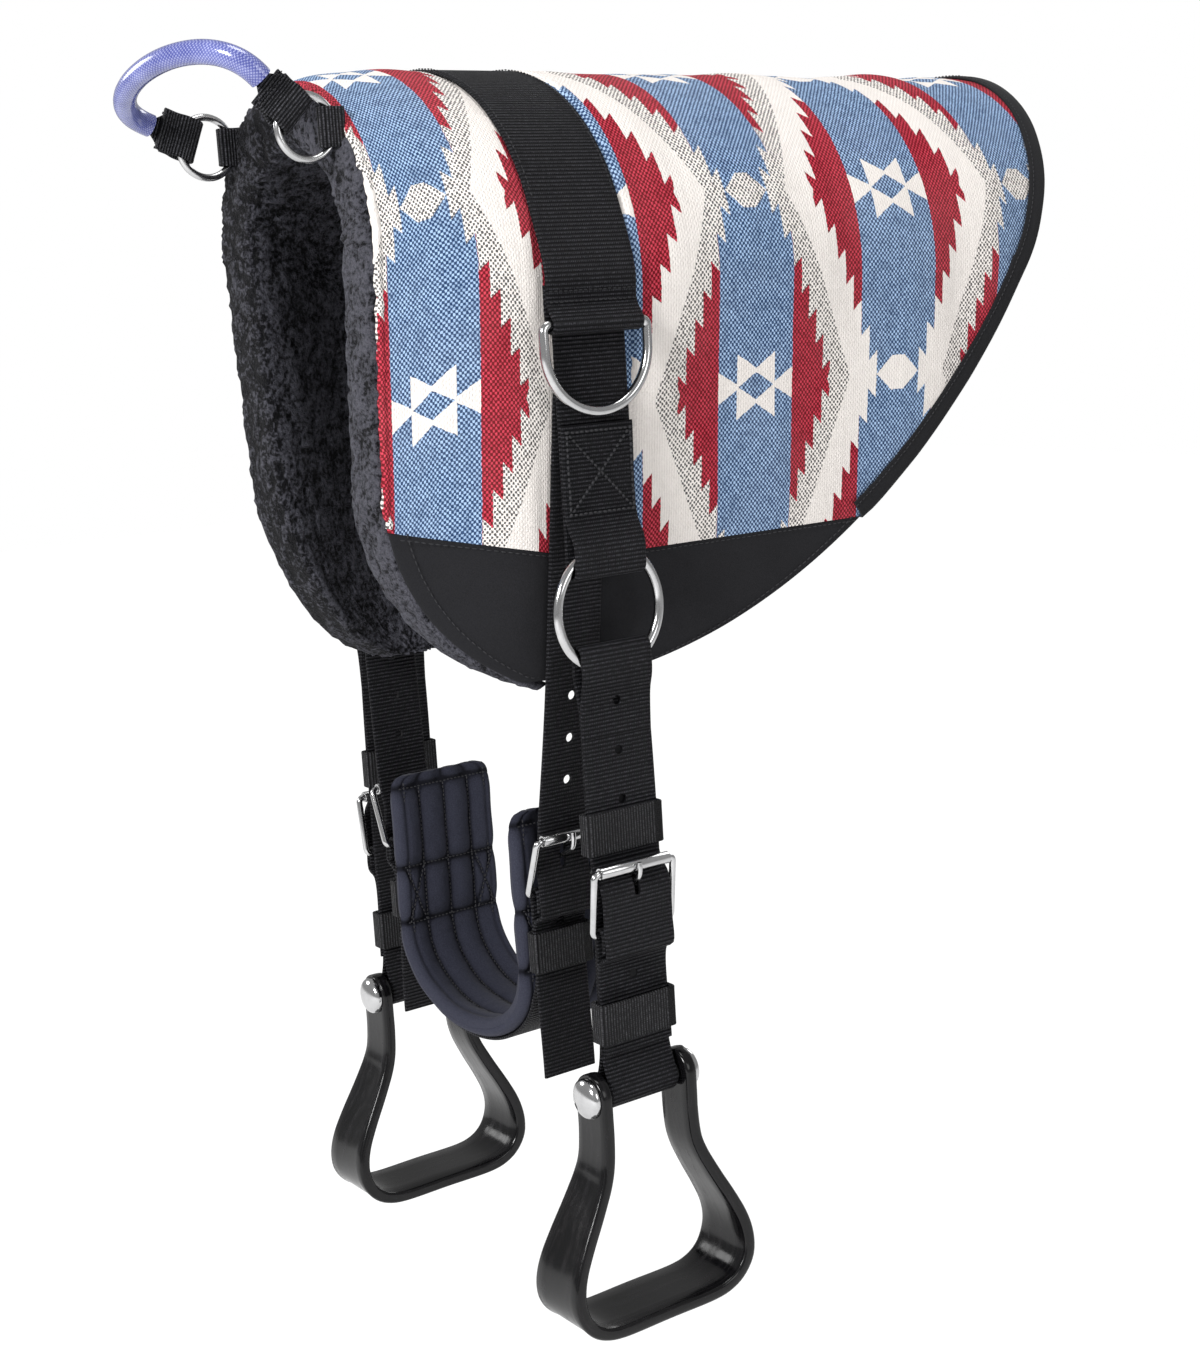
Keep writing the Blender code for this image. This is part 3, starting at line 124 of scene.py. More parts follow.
class Paint:
    """A Principled material and the nodes that feed it."""

    def __init__(self, name, colour, roughness, metallic=0.0, **fixed):
        self.material = bpy.data.materials.new(name)
        self.material.use_nodes = True
        self.tree = self.material.node_tree
        self.shader = self.tree.nodes["Principled BSDF"]
        settings = {"Base Color": colour, "Roughness": roughness, "Metallic": metallic, **fixed}
        for key, value in settings.items():
            self.set(key.replace("_", " "), value)

    def set(self, key, value):
        self.feed(self.shader.inputs[key], value)

    def dull(self, level=0.12):
        """Cloth and suede give back little light as gloss."""
        self.set("Specular IOR Level", level)
        return self

    def feed(self, slot, value):
        if isinstance(value, Ink):
            self.tree.links.new(value.socket, slot)
        elif isinstance(value, tuple) and len(value) == 3 and slot.type == "RGBA":
            slot.default_value = (*value, 1.0)
        elif value is not None:
            slot.default_value = value

    def node(self, kind, settings=None, out=0, **values):
        node = self.tree.nodes.new("ShaderNode" + kind)
        for key, value in (settings or {}).items():
            setattr(node, key, value)
        for key, value in values.items():
            self.feed(node.inputs[key], value)
        return Ink(self, node.outputs[out])

    def number(self, value):
        ink = self.node("Value")
        ink.socket.default_value = value
        return ink

    def chart_vector(self, name):
        return self.node("UVMap", {"uv_map": name})

    def chart(self, name="run"):
        """The piece's own chart: u across, v along, in metres."""
        across = self.node("SeparateXYZ", Vector=self.chart_vector(name))
        return across, Ink(self, across.socket.node.outputs[1])

    def grain(self, scale, detail=3.0, roughness=0.55, vector=None):
        place = vector or self.node("TexCoord", out=3)
        return self.node("TexNoise", Vector=place, Scale=scale, Detail=detail, Roughness=roughness)

    def flecks(self, scale, gain, cut, detail=3.0, roughness=0.55):
        """Patches of grain, from 0 to 1: gain sets how hard their rims are and cut how few there are."""
        return (self.grain(scale, detail, roughness) * gain - cut).clamp()

    def stored(self, name):
        """A number that the mesh carries at each of its points."""
        return self.node("Attribute", {"attribute_name": name}, out=2)

    def mix(self, share, first, second):
        node = self.tree.nodes.new("ShaderNodeMix")
        node.data_type = "RGBA"
        for slot, value in ((0, share), (6, first), (7, second)):
            self.feed(node.inputs[slot], value)
        return Ink(self, node.outputs[2])

    def colour(self, share, first, second):
        self.set("Base Color", self.mix(share, first, second))

    def bump(self, height, strength, distance):
        """The last step of a paint: returns its material."""
        self.set("Normal", self.node("Bump", Strength=strength, Distance=distance, Height=height))
        return self.material


BLUE_PALE, BLUE_DARK = (0.40, 0.56, 0.80), (0.008, 0.034, 0.105)
RED_PALE, RED_DARK = (0.62, 0.050, 0.085), (0.12, 0.002, 0.006)
CREAM, CREAM_SHADE = (0.89, 0.84, 0.80), (0.50, 0.45, 0.42)
SPECK_DARK = (0.028, 0.028, 0.030)


def woven_cover_paint():
    """A half-drop lattice of stepped lozenges: blue with red flanks, outlined in cream or in speckle."""
    paint = Paint("saddle_cloth", CREAM, 0.92).dull()
    girdle, along = paint.chart("cloth")
    girdle = girdle + (paint.grain(420.0, 2.0) - 0.5) * 0.0016
    along = along + (paint.grain(380.0, 2.0, vector=paint.chart_vector("cloth")) - 0.5) * 0.0014

    half_column, half_row = 0.1185, 0.117
    d_across = ((along - 0.246 + half_column).mod(2 * half_column) - half_column).abs()
    d_down = ((girdle - 0.149 + half_row).mod(2 * half_row) - half_row).abs()
    edge = 0.087 - d_down * (0.047 / half_row)
    in_cream_cell = d_across < edge
    across = in_cream_cell * d_across + (1.0 - in_cream_cell) * ((half_column - d_across) * (65.0 / 61.0))
    down = in_cream_cell * d_down + (1.0 - in_cream_cell) * (half_row - d_down)

    step, rise = 0.0068, 0.016
    teeth = (0.0652 - across) / step
    whole = teeth.floor()
    reach = whole * rise + 0.012 - (teeth - whole) * 0.006
    notch = 0.0632 + down * 0.33
    figure = (down < reach) * (across < notch) * (across > 0.0174)
    tablet = (across - 0.005).high(0.0) * (0.011 / 0.0124) + 0.106
    figure = (figure + (across < 0.0174) * (down < tablet)).clamp()
    in_blue = across < 0.0310
    diamond = down < 0.0084 - across * (0.0084 / 0.0146)
    horn = (across < 0.0158) * (down < 0.0108 + across * 0.58)
    wing = (across > 0.0158) * (down < (across - 0.0145) * 0.53 + 0.0010)
    star = (horn + wing).clamp() * (1.0 - diamond) * in_blue

    weave = girdle.wave(0.0033) * along.wave(0.0030)
    over = (weave * 2.6 + 0.27).clamp()
    fleck = paint.flecks(900.0, 2.4, 0.75, 2.0)
    slub = paint.flecks(140.0, 1.8, 0.4)
    thread = (along * (2 * math.pi / 0.0019) + paint.grain(60.0) * 5.0).sin() * 0.5 + 0.5
    pale = (over * (0.50 + slub * 0.80) + fleck * 0.10).clamp()

    blue = paint.mix(pale, BLUE_DARK, BLUE_PALE)
    red = paint.mix(pale, RED_DARK, RED_PALE)
    cream = paint.mix((thread * 0.42 * (0.2 + slub * 0.8) + fleck * 0.10).clamp(), CREAM, CREAM_SHADE)
    speck_share = ((weave * 1.5 + (paint.grain(430.0, 2.0) - 0.5) * 2.4) * 1.9 + 0.14).clamp()
    speck = paint.mix(speck_share * 0.92, CREAM, SPECK_DARK)
    ground = paint.mix(in_cream_cell, speck, cream)
    shape = paint.mix(star, paint.mix(in_blue, red, blue), cream)
    paint.colour(paint.flecks(9.0, 1.4, 0.55, 4.0) * 0.14, paint.mix(figure, ground, shape), CREAM_SHADE)
    return paint.bump(over * 0.7 + thread * 0.25 + fleck * 0.35, 0.6, 0.0007)



def webbing_paint(name, colour, pitch=0.0021, lift=1.0):
    """Flat nylon webbing: ribs across the run, fine warps along it, the rib crests painted paler as a
    highlight, with painted glints.
    """
    paint = Paint(name, colour, 0.62).dull(0.13)
    across, along = paint.chart()
    rib = (along * (math.pi / pitch)).sin().abs()
    warp = across.wave(0.0013) * 0.5 + 0.5
    lint = paint.flecks(1500.0, 2.4, 0.9)
    # Patches where the painted rib highlight is stronger.
    crest_highlight_patches = paint.flecks(30.0, 1.6, 0.4, 4.0)
    crest = ((rib - 0.50) * 2.0).clamp()
    glint = paint.flecks(850.0, 3.4, 1.55, 2.0)
    # The crest share is a painted highlight on the ribs, with painted shade left in the valleys between them,
    # and glint adds painted glints; lint is real fluff.
    share = crest * (0.08 + warp * 0.42) * (0.4 + crest_highlight_patches * 0.7) + crest * glint * 0.75 + lint * 0.08
    paint.colour(share.clamp(), colour, tuple(c * 9.0 * lift + 0.012 for c in colour))
    paint.set("Roughness", 0.48 + lint * 0.25)
    return paint.bump(rib + warp * crest * 0.5, 1.0, 0.0009)


def suede_paint(name, colour):
    paint = Paint(name, colour, 0.95, Sheen_Weight=0.03, Sheen_Roughness=0.6).dull()
    nap = paint.flecks(1400.0, 2.0, 0.6, 4.0, 0.7)
    brush = paint.grain(22.0, 4.0)
    paint.colour((nap * 0.6 + brush * 0.35 - 0.1).clamp(), colour, tuple(c * 2.2 + 0.008 for c in colour))
    return paint.bump(nap * 0.6 + brush * 0.4, 0.35, 0.0006)


def fleece_paint():
    paint = Paint("curly_fleece", (0.030, 0.030, 0.038), 1.0, Sheen_Weight=0.04, Sheen_Roughness=0.55).dull()
    curl = paint.grain(260.0, 4.0, 0.65)
    strand = paint.flecks(900.0, 2.2, 0.7, 3.0, 0.7)
    clump = paint.grain(430.0, 3.0, 0.6)
    # Paler where the pile stands high: darker in the hollows between locks, and on the far flap and its rim,
    # all painted shade.
    lint = ((curl - 0.5) * 1.8 + (clump - 0.5) * 3.2 + paint.stored("pile_height_and_shade") * 1.25 - 0.14).clamp()
    colour = paint.mix(lint, (0.0030, 0.0030, 0.0044), (0.066, 0.066, 0.083))
    paint.colour(strand * lint * 0.6, colour, (0.170, 0.170, 0.198))
    return paint.bump(curl * 0.7 + clump * 0.7 + strand * 0.35, 1.0, 0.0026)


def felt_paint():
    paint = Paint("grey_felt", (0.045, 0.045, 0.050), 1.0).dull()
    fibre = paint.grain(900.0, 4.0, 0.7)
    paint.colour((fibre * 2.0 - 0.6).clamp(), (0.025, 0.025, 0.028), (0.11, 0.11, 0.12))
    return paint.bump(fibre, 0.5, 0.0006)


def steel_paint(name, roughness):
    paint = Paint(name, (0.50, 0.50, 0.50), roughness, 1.0)
    scuff = paint.flecks(60.0, 2.0, 0.7, 5.0, 0.7)
    hair = paint.flecks(2600.0, 2.0, 0.8, 2.0)
    paint.set("Roughness", scuff * 0.12 + hair * 0.05 + roughness)
    paint.colour(scuff * 0.7, (0.62, 0.62, 0.625), (0.32, 0.32, 0.325))
    return paint.bump(scuff * 0.5 + hair * 0.2, 0.06, 0.0003)


def plastic_paint(name, colour, roughness):
    """Moulded plastic: glossy, with faint streaks along the moulding in its gloss and bumps, painted
    reflection streaks in its colour, and rubbed patches.
    """
    paint = Paint(name, colour, roughness).dull(0.30)
    peel = paint.grain(260.0, 2.0)
    scuff = paint.flecks(38.0, 2.6, 1.3, 6.0, 0.75)
    across, _ = paint.chart()
    flow_and_reflection_wave = ((across * 900.0 + paint.grain(26.0) * 14.0).sin()
            * (across * 2300.0 + paint.grain(17.0, 2.0) * 22.0).sin())
    streak = (flow_and_reflection_wave * 0.8 + 0.15).clamp()
    tint = paint.mix(paint.grain(12.0, 2.0), (0.016, 0.012, 0.011), (0.012, 0.013, 0.019))
    # The streak share paints reflection streaks into the colour, in a brownish or bluish tint; the scuff
    # share is rubbed wear.
    paint.colour((scuff * 0.6 + streak * 0.35).clamp(), colour, tint)
    paint.set("Roughness", scuff * 0.26 + streak * 0.10 + peel * 0.05 + (roughness - 0.045))
    return paint.bump(peel * 0.5 + streak * 0.25 + scuff * 0.2, 0.14, 0.0005)


def girth_paint():
    paint = Paint("girth_cotton", (0.014, 0.015, 0.026), 0.93, Sheen_Weight=0.04, Sheen_Roughness=0.5).dull()
    across, along = paint.chart()
    weave = across.wave(0.0008) * along.wave(0.0008) * 0.5 + 0.5
    lint = paint.flecks(1100.0, 2.2, 0.8, 4.0, 0.7)
    cotton = paint.mix((weave * 0.35 + lint * 0.4).clamp(), (0.0150, 0.0160, 0.0260), (0.070, 0.073, 0.104))
    # The stored seam share darkens the sewn lines and paints shade into their grooves and the valleys beside
    # them.
    paint.colour(paint.stored("seam").clamp() * 0.85, cotton, (0.0020, 0.0020, 0.0035))
    return paint.bump(weave * 0.5 + lint * 0.5, 0.35, 0.0004)


def tube_paint():
    """Clear blue vinyl over the rolled webbing, whose net of pale stitches shows through."""
    paint = Paint("vinyl_tube", (0.16, 0.18, 0.52), 0.12, Coat_Weight=0.6, Coat_Roughness=0.04)
    around, along = paint.chart()
    dots = (along.wave(0.0019) * around.wave(0.0022) * 1.6 + 0.10).clamp()
    cloud = paint.grain(55.0)
    body = paint.mix((cloud * 1.8 - 0.5).clamp(), (0.040, 0.050, 0.25), (0.15, 0.17, 0.44))
    paint.colour(dots * (0.20 + cloud * 0.75), body, (0.44, 0.47, 0.72))
    paint.set("Roughness", 0.10 + cloud * 0.10)
    return paint.bump(dots, 0.10, 0.0003)


def thread_paint(name, colour):
    paint = Paint(name, colour, 0.75).dull()
    twist = paint.grain(2200.0, 2.0)
    paint.colour(twist, colour, tuple(min(c * 1.9 + 0.006, 1.0) for c in colour))
    return paint.bump(twist, 0.4, 0.0002)


INKS = {
    "cover": woven_cover_paint(),
    "webbing": webbing_paint("nylon_webbing", (0.0042, 0.0042, 0.0050), 0.0024, 1.3),
    "narrow": webbing_paint("narrow_webbing", (0.0045, 0.0045, 0.0052), 0.0018, 2.6),
    "keeper": webbing_paint("keeper_webbing", (0.0060, 0.0060, 0.0066), 0.0020, 1.6),
    "leather": suede_paint("black_suede", (0.0085, 0.0085, 0.0100)),
    "binding": suede_paint("edge_suede", (0.0080, 0.0080, 0.0092)),
    "fleece": fleece_paint(),
    "felt": felt_paint(),
    "steel": steel_paint("nickel_plate", 0.09),
    "satin": steel_paint("satin_nickel", 0.16),
    "plastic": plastic_paint("stirrup_plastic", (0.0030, 0.0030, 0.0034), 0.17),
    "sleeve": plastic_paint("sleeve_plastic", (0.020, 0.020, 0.020), 0.45),
    "girth": girth_paint(),
    "tube": tube_paint(),
    "black_thread": thread_paint("black_thread", (0.024, 0.024, 0.026)),
}


# Mesh helpers

def make_piece(name, verts, faces, ink, charts=None, smooth=True, sharp=None):
    """A mesh object at the origin.  charts maps a chart's name to (u, v) per vertex."""
    mesh = bpy.data.meshes.new(name)
    mesh.from_pydata([tuple(v) for v in verts], [], faces)
    mesh.update()
    for chart, values in (charts or {}).items():
        layer = mesh.uv_layers.new(name=chart)
        loops = np.zeros(len(mesh.loops), np.int32)
        mesh.loops.foreach_get("vertex_index", loops)
        layer.data.foreach_set("uv", np.asarray(values, np.float32)[loops].ravel())
    if smooth:
        mesh.shade_smooth()
        if sharp:
            mesh.set_sharp_from_angle(angle=math.radians(sharp))
    mesh.materials.append(INKS[ink])
    obj = bpy.data.objects.new(name, mesh)
    scene.collection.objects.link(obj)
    return obj


def face_outwards(obj):
    work = bmesh.new()
    work.from_mesh(obj.data)
    bmesh.ops.recalc_face_normals(work, faces=work.faces)
    work.to_mesh(obj.data)
    work.free()
    return obj


def skin(rings, closed_along=False, caps=True):
    """Verts and faces over equal rings of points."""
    count, last = len(rings[0]), len(rings) - 1
    faces = []
    for i in range(len(rings) if closed_along else last):
        a, b = i * count, ((i + 1) % len(rings)) * count
        faces += [(a + j, a + (j + 1) % count, b + (j + 1) % count, b + j) for j in range(count)]
    if caps and not closed_along:
        faces += [tuple(range(count)), tuple(reversed(range(last * count, (last + 1) * count)))]
    return [point for ring in rings for point in ring], faces


def skinned(name, rings, ink, charts=None, sharp=None, closed_along=False):
    """A closed piece over rings of points, its faces turned outwards."""
    return face_outwards(make_piece(name, *skin(rings, closed_along), ink, charts, sharp=sharp))


def arc(centre, radius, start, end, steps):
    angles = [math.radians(start + (end - start) * i / steps) for i in range(steps + 1)]
    return [(centre[0] + radius * math.cos(a), centre[1] + radius * math.sin(a)) for a in angles]


def circle(steps):
    """Cosine and sine at equal steps round a circle."""
    return [(math.cos(t), math.sin(t)) for t in (2 * math.pi * k / steps for k in range(steps))]


def outs(line, closed=False):
    """The normal on the left of a flat line, at each of its points."""
    last = len(line) - 1
    found = []
    for i in range(last + 1):
        a = line[i - 1] if (i or closed) else line[0]
        b = line[(i + 1) % (last + 1)] if (i < last or closed) else line[last]
        tangent = Vector((b[0] - a[0], b[1] - a[1])).normalized()
        found.append(Vector((-tangent.y, tangent.x)))
    return found


def wrap_of(wire_radius):
    """Radius of a ply's middle where it is folded round a wire."""
    return wire_radius + GAP + PLY / 2


def bake(obj):
    """A plain mesh of obj with its modifiers applied."""
    graph = bpy.context.evaluated_depsgraph_get()
    return bpy.data.meshes.new_from_object(obj.evaluated_get(graph))


def settle(obj, body, node=None):
    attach(obj, body)
    if node:
        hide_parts(node)
    return obj


def finer(path, step):
    """Rounds and resamples a flat path with a Catmull-Rom curve, so that bends stay but facets go."""
    points = [Vector((*p, 0.0)) if len(p) == 2 else Vector(p) for p in path]
    out = []
    for i in range(len(points) - 1):
        p0 = points[max(i - 1, 0)]
        p1, p2 = points[i], points[i + 1]
        p3 = points[min(i + 2, len(points) - 1)]
        length = (p2 - p1).length
        count = max(int(math.ceil(length / step)), 1)
        t0 = 0.0
        t1 = t0 + max((p1 - p0).length, 1e-5) ** 0.5
        t2 = t1 + max(length, 1e-5) ** 0.5
        t3 = t2 + max((p3 - p2).length, 1e-5) ** 0.5
        if i == 0:
            p0, t0 = p1 - (p2 - p1), t1 - (t2 - t1)
        if i == len(points) - 2:
            p3, t3 = p2 + (p2 - p1), t2 + (t2 - t1)
        for k in range(count):
            t = t1 + (t2 - t1) * k / count
            a1 = p0 * ((t1 - t) / (t1 - t0)) + p1 * ((t - t0) / (t1 - t0))
            a2 = p1 * ((t2 - t) / (t2 - t1)) + p2 * ((t - t1) / (t2 - t1))
            a3 = p2 * ((t3 - t) / (t3 - t2)) + p3 * ((t - t2) / (t3 - t2))
            b1 = a1 * ((t2 - t) / (t2 - t0)) + a2 * ((t - t0) / (t2 - t0))
            b2 = a2 * ((t3 - t) / (t3 - t1)) + a3 * ((t - t1) / (t3 - t1))
            out.append(b1 * ((t2 - t) / (t2 - t1)) + b2 * ((t - t1) / (t2 - t1)))
    out.append(points[-1])
    return [(p.x, p.y) if len(path[0]) == 2 else p for p in out]


def web_section(half, deep):
    """Across a webbing ply: rounded selvedges and a face that dips a little inside them."""
    shares = (1.0, 0.985, 0.94, 0.80, 0.40, 0.0, -0.40, -0.80, -0.94, -0.985, -1.0)
    lifts = (0.0, 0.62, 0.96, 0.90, 0.90, 0.90, 0.90, 0.90, 0.96, 0.62, 0.0)
    upper = [(half * s, deep * l) for s, l in zip(shares, lifts)]
    return upper + [(a, -d) for a, d in reversed(upper[1:-1])]


def ribbon(name, path, width, place, ink, step=0.0035, thick=PLY, closed=False):
    """Webbing along a flat path.  place(a, b, w) turns a path point and a distance across into space."""
    line = finer(path + [path[0]] if closed else path, step)
    if closed:
        line = line[:-1]
    rings, chart = [], []
    run = 0.0
    for i, ((a, b), out) in enumerate(zip(line, outs(line, closed))):
        if i:
            run += math.hypot(a - line[i - 1][0], b - line[i - 1][1])
        wide = width(i / (len(line) - 1)) if callable(width) else width
        section = web_section(wide / 2, thick / 2)
        rings.append([place(a + out.x * d, b + out.y * d, w) for w, d in section])
        chart += [(w, run) for w, d in section]
    return skinned(name, rings, ink, {"run": chart}, 60, closed)


def upright(side, y_centre=0.0, z0=0.0):
    return lambda a, b, w: Vector((side * a, y_centre + w, z0 + b))


def wire(name, points, radius, ink, closed=True, sides=16):
    """Round wire through the points."""
    points = [Vector(p) for p in points]
    count = len(points)
    rings, faces = [], []
    normal = None
    for i, p in enumerate(points):
        before = points[i - 1] if (i or closed) else p
        after = points[(i + 1) % count] if (i < count - 1 or closed) else p
        tangent = (after - before).normalized()
        if normal is None:
            normal = tangent.orthogonal().normalized()
        normal = (normal - tangent * normal.dot(tangent)).normalized()
        side = tangent.cross(normal)
        rings.append([p + normal * (radius * c) + side * (radius * s) for c, s in circle(sides)])
    shift = min(range(sides), key=lambda k: (rings[-1][0] - rings[0][k]).length) if closed else 0
    for i in range(count if closed else count - 1):
        a, b = i * sides, ((i + 1) % count) * sides
        move = shift if i == count - 1 else 0
        faces += [(a + j, a + (j + 1) % sides, b + (j + 1 + move) % sides, b + (j + move) % sides)
                  for j in range(sides)]
    if not closed:
        faces += [tuple(reversed(range(sides))), tuple(range((count - 1) * sides, count * sides))]
    return face_outwards(make_piece(name, [v for ring in rings for v in ring], faces, ink, sharp=50))


def lathe(name, profile, centre, ink, steps=40, sharp=40):
    """A profile of (along Y, radius) turned about a line parallel to Y."""
    ends = profile[0][1] == 0 and profile[-1][1] == 0
    inner = profile[1:-1] if ends else profile
    x, y, z = centre
    rings = [[Vector((x + radius * c, y + along, z + radius * s)) for c, s in circle(steps)]
             for along, radius in inner]
    verts, faces = skin(rings, not ends, caps=False)
    if ends:
        for end, base in ((profile[0], 0), (profile[-1], (len(inner) - 1) * steps)):
            verts.append(Vector((x, y + end[0], z)))
            faces += [(base + k, base + (k + 1) % steps, len(verts) - 1) for k in range(steps)]
    return face_outwards(make_piece(name, verts, faces, ink, sharp=sharp))


def swell(obj, sewn, pressure, cap):
    """Fills a padded piece: the loose cloth swells and puckers while its sewn lines stay where they are."""
    rest = np.zeros(len(obj.data.vertices) * 3, np.float32)
    obj.data.vertices.foreach_get("co", rest)
    obj.vertex_groups.new(name="sewn").add(sewn, 1.0, "REPLACE")
    cloth = obj.modifiers.new("filling", "CLOTH")
    for key, value in {"quality": 5, "mass": 0.15, "tension_stiffness": 12.0, "compression_stiffness": 12.0,
                       "bending_stiffness": 0.4, "shrink_min": -0.012, "use_pressure": True,
                       "uniform_pressure_force": pressure, "vertex_group_mass": "sewn"}.items():
        setattr(cloth.settings, key, value)
    cloth.settings.effector_weights.gravity = 0.0
    cloth.collision_settings.use_collision = False
    for step in range(1, 21):
        scene.frame_set(step)
    filled = bake(obj)
    moved = np.zeros(len(rest), np.float32)
    filled.vertices.foreach_get("co", moved)
    bpy.data.meshes.remove(filled)
    obj.modifiers.clear()
    obj.vertex_groups.clear()
    scene.frame_set(1)
    shift = (moved - rest).reshape(-1, 3)
    size = np.linalg.norm(shift, axis=1, keepdims=True)
    shift *= np.minimum(1.0, cap / np.maximum(size, 1e-9))
    obj.data.vertices.foreach_set("co", rest + shift.ravel())
    obj.data.update()


# Stitches, one tree for every row of them

def stitch_tree():
    """Short rounded stitches laid end to end along each spline."""
    tree = bpy.data.node_groups.new("stitch_row", "GeometryNodeTree")
    for name, kind in (("Rows", "Geometry"), ("Pitch", "Float"), ("Thread radius", "Float"),
                       ("Stitch share", "Float"), ("Wander", "Float"), ("Thread", "Material")):
        tree.interface.new_socket(name, in_out="INPUT", socket_type="NodeSocket" + kind)
    tree.interface.new_socket("Stitches", in_out="OUTPUT", socket_type="NodeSocketGeometry")

    def add(kind, *feeds, **settings):
        """A node's first output.  feeds holds (input, socket or value)."""
        node = tree.nodes.new(kind)
        for key, value in settings.items():
            setattr(node, key, value)
        for key, value in feeds:
            if isinstance(value, bpy.types.NodeSocket):
                tree.links.new(value, node.inputs[key])
            else:
                node.inputs[key].default_value = value
        return node.outputs[0]

    given = tree.nodes.new("NodeGroupInput").outputs
    wander = ("Scale", given["Wander"])
    low, high = [add("ShaderNodeVectorMath", (0, (sign, sign, sign)), wander, operation="SCALE")
                 for sign in (-1.0, 1.0)]
    jitter = add("FunctionNodeRandomValue", (0, low), (1, high), ("Seed", 7), data_type="FLOAT_VECTOR")
    spaced = add("GeometryNodeResampleCurve", ("Curve", given["Rows"]), ("Length", given["Pitch"]),
                 mode="LENGTH")
    moved = add("GeometryNodeSetPosition", ("Geometry", spaced), ("Offset", jitter))
    stitch = add("GeometryNodeMeshUVSphere", ("Segments", 6), ("Rings", 5), ("Radius", 1.0))
    length = add("ShaderNodeMath", (0, given["Pitch"]), (1, given["Stitch share"]), operation="MULTIPLY")
    halved = add("ShaderNodeMath", (0, length), (1, 0.5), operation="MULTIPLY")
    size = add("ShaderNodeCombineXYZ", (0, given["Thread radius"]), (1, given["Thread radius"]), (2, halved))
    aim = add("FunctionNodeAlignEulerToVector", ("Vector", add("GeometryNodeInputTangent")), axis="Z")
    laid = add("GeometryNodeInstanceOnPoints", ("Points", moved), ("Instance", stitch), ("Rotation", aim),
               ("Scale", size))
    smooth = add("GeometryNodeSetShadeSmooth", (0, add("GeometryNodeRealizeInstances", (0, laid))))
    inked = add("GeometryNodeSetMaterial", ("Geometry", smooth), ("Material", given["Thread"]))
    tree.links.new(inked, tree.nodes.new("NodeGroupOutput").inputs[0])
    return tree


STITCHES = stitch_tree()


def stitch_rows(name, rows, body, pitch=0.0034, radius=0.0004):
    """Stitches along rows of points, as one piece riding on body."""
    curve = bpy.data.curves.new(name + "_line", "CURVE")
    curve.dimensions = "3D"
    for row in rows:
        spline = curve.splines.new("POLY")
        spline.points.add(len(row) - 1)
        for point, place in zip(spline.points, row):
            point.co = (*place, 1.0)
    line = bpy.data.objects.new(name + "_line", curve)
    scene.collection.objects.link(line)
    modifier = line.modifiers.new("stitches", "NODES")
    modifier.node_group = STITCHES
    given = {"Pitch": pitch, "Thread radius": radius, "Stitch share": 0.72, "Wander": 0.00012,
             "Thread": INKS["black_thread"]}
    for item in STITCHES.interface.items_tree:
        if item.in_out == "INPUT" and item.name in given:
            modifier[item.identifier] = given[item.name]
    bpy.context.view_layer.update()
    obj = bpy.data.objects.new(name, bake(line))
    bpy.data.objects.remove(line)
    scene.collection.objects.link(obj)
    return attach(obj, body)


# The pad's form

def clamped(value):
    return min(max(value, 0.0), 1.0)


def half_width(y):
    share = clamped((y + CREST_FRONT) / (CREST_FRONT - SURCINGLE_WIDTH / 2))
    return FRONT_HALF_WIDTH + (MID_HALF_WIDTH - FRONT_HALF_WIDTH) * share * share * (3 - 2 * share)


def seam_drop(y):
    return SEAM_FRONT_DROP + (SEAM_REAR_DROP - SEAM_FRONT_DROP) * clamped((y + CREST_FRONT) / CREST_FRONT)


def flap_runs(y):
    crown = half_width(y) * (1 - math.cos(TURN))
    return (seam_drop(y) - crown) / math.sin(TURN), (HEM_DROP - seam_drop(y)) / math.sin(TURN)


def flap_run(y, station):
    above, below = flap_runs(y)
    return clamped(station - 1) * above + max(station - 2, 0.0) * below


def arc_at(y, station):
    return half_width(y) * TURN * min(station, 1.0) + flap_run(y, station)


def pad_point(y, station, depth):
    radius = half_width(y)
    angle = min(abs(station), 1.0) * TURN
    rest = flap_run(y, abs(station))
    x = (radius - depth) * math.sin(angle) + rest * math.cos(TURN)
    z = CREST_Z - radius + (radius - depth) * math.cos(angle) - rest * math.sin(TURN)
    return Vector((math.copysign(x, station), y, z))


def front_edge(station):
    past = arc_at(-CREST_FRONT, abs(station)) - FRONT_STRAIGHT_LENGTH
    past /= FRONT_REACH - FRONT_STRAIGHT_LENGTH
    return -CREST_FRONT * (1 - clamped(past) ** FRONT_POWER) ** (1 / FRONT_POWER)


def rear_edge(station):
    share = min(arc_at(CREST_REAR, abs(station)) / REAR_REACH, 1.0)
    return CREST_REAR * (1 - share ** REAR_POWER) ** (1 / REAR_POWER)


def cloth_chart(y, station):
    """Where this spot lies on the woven cloth.  Towards the front the cloth is drawn round the edge."""
    along = y if y > 0.011 else 0.011 + (y - 0.011) * 1.19 - max(-0.0875 - y, 0.0) * 0.26
    round_it = math.copysign(arc_at(y, abs(station)), station)
    pull = 0.017 * math.exp(-((y + 0.087) / 0.055) ** 2) - 0.009 * math.exp(-((y - 0.011) / 0.045) ** 2)
    return round_it + pull * min(abs(round_it) / 0.20, 1.0) * math.copysign(1.0, station), along


def stations_to(last, crown=44, above=18, below=14):
    rows = [i / crown for i in range(crown + 1)]
    rows += [1 + i / above for i in range(1, above + 1)]
    if last > 2:
        rows += [2 + (last - 2) * math.sin(math.pi / 2 * i / below) for i in range(1, below + 1)]
    return [-r for r in reversed(rows[1:])] + rows


def far_share(station):
    """0 on the near side and at the crest, 1 on the far flap."""
    return clamped(-station / 0.6)


def front_drop(y, station):
    """The stuffing thins towards the front, so the upper layers roll down to the edge."""
    return 0.0050 * max(1.0 - (y - front_edge(station)) / 0.042, 0.0) ** 2


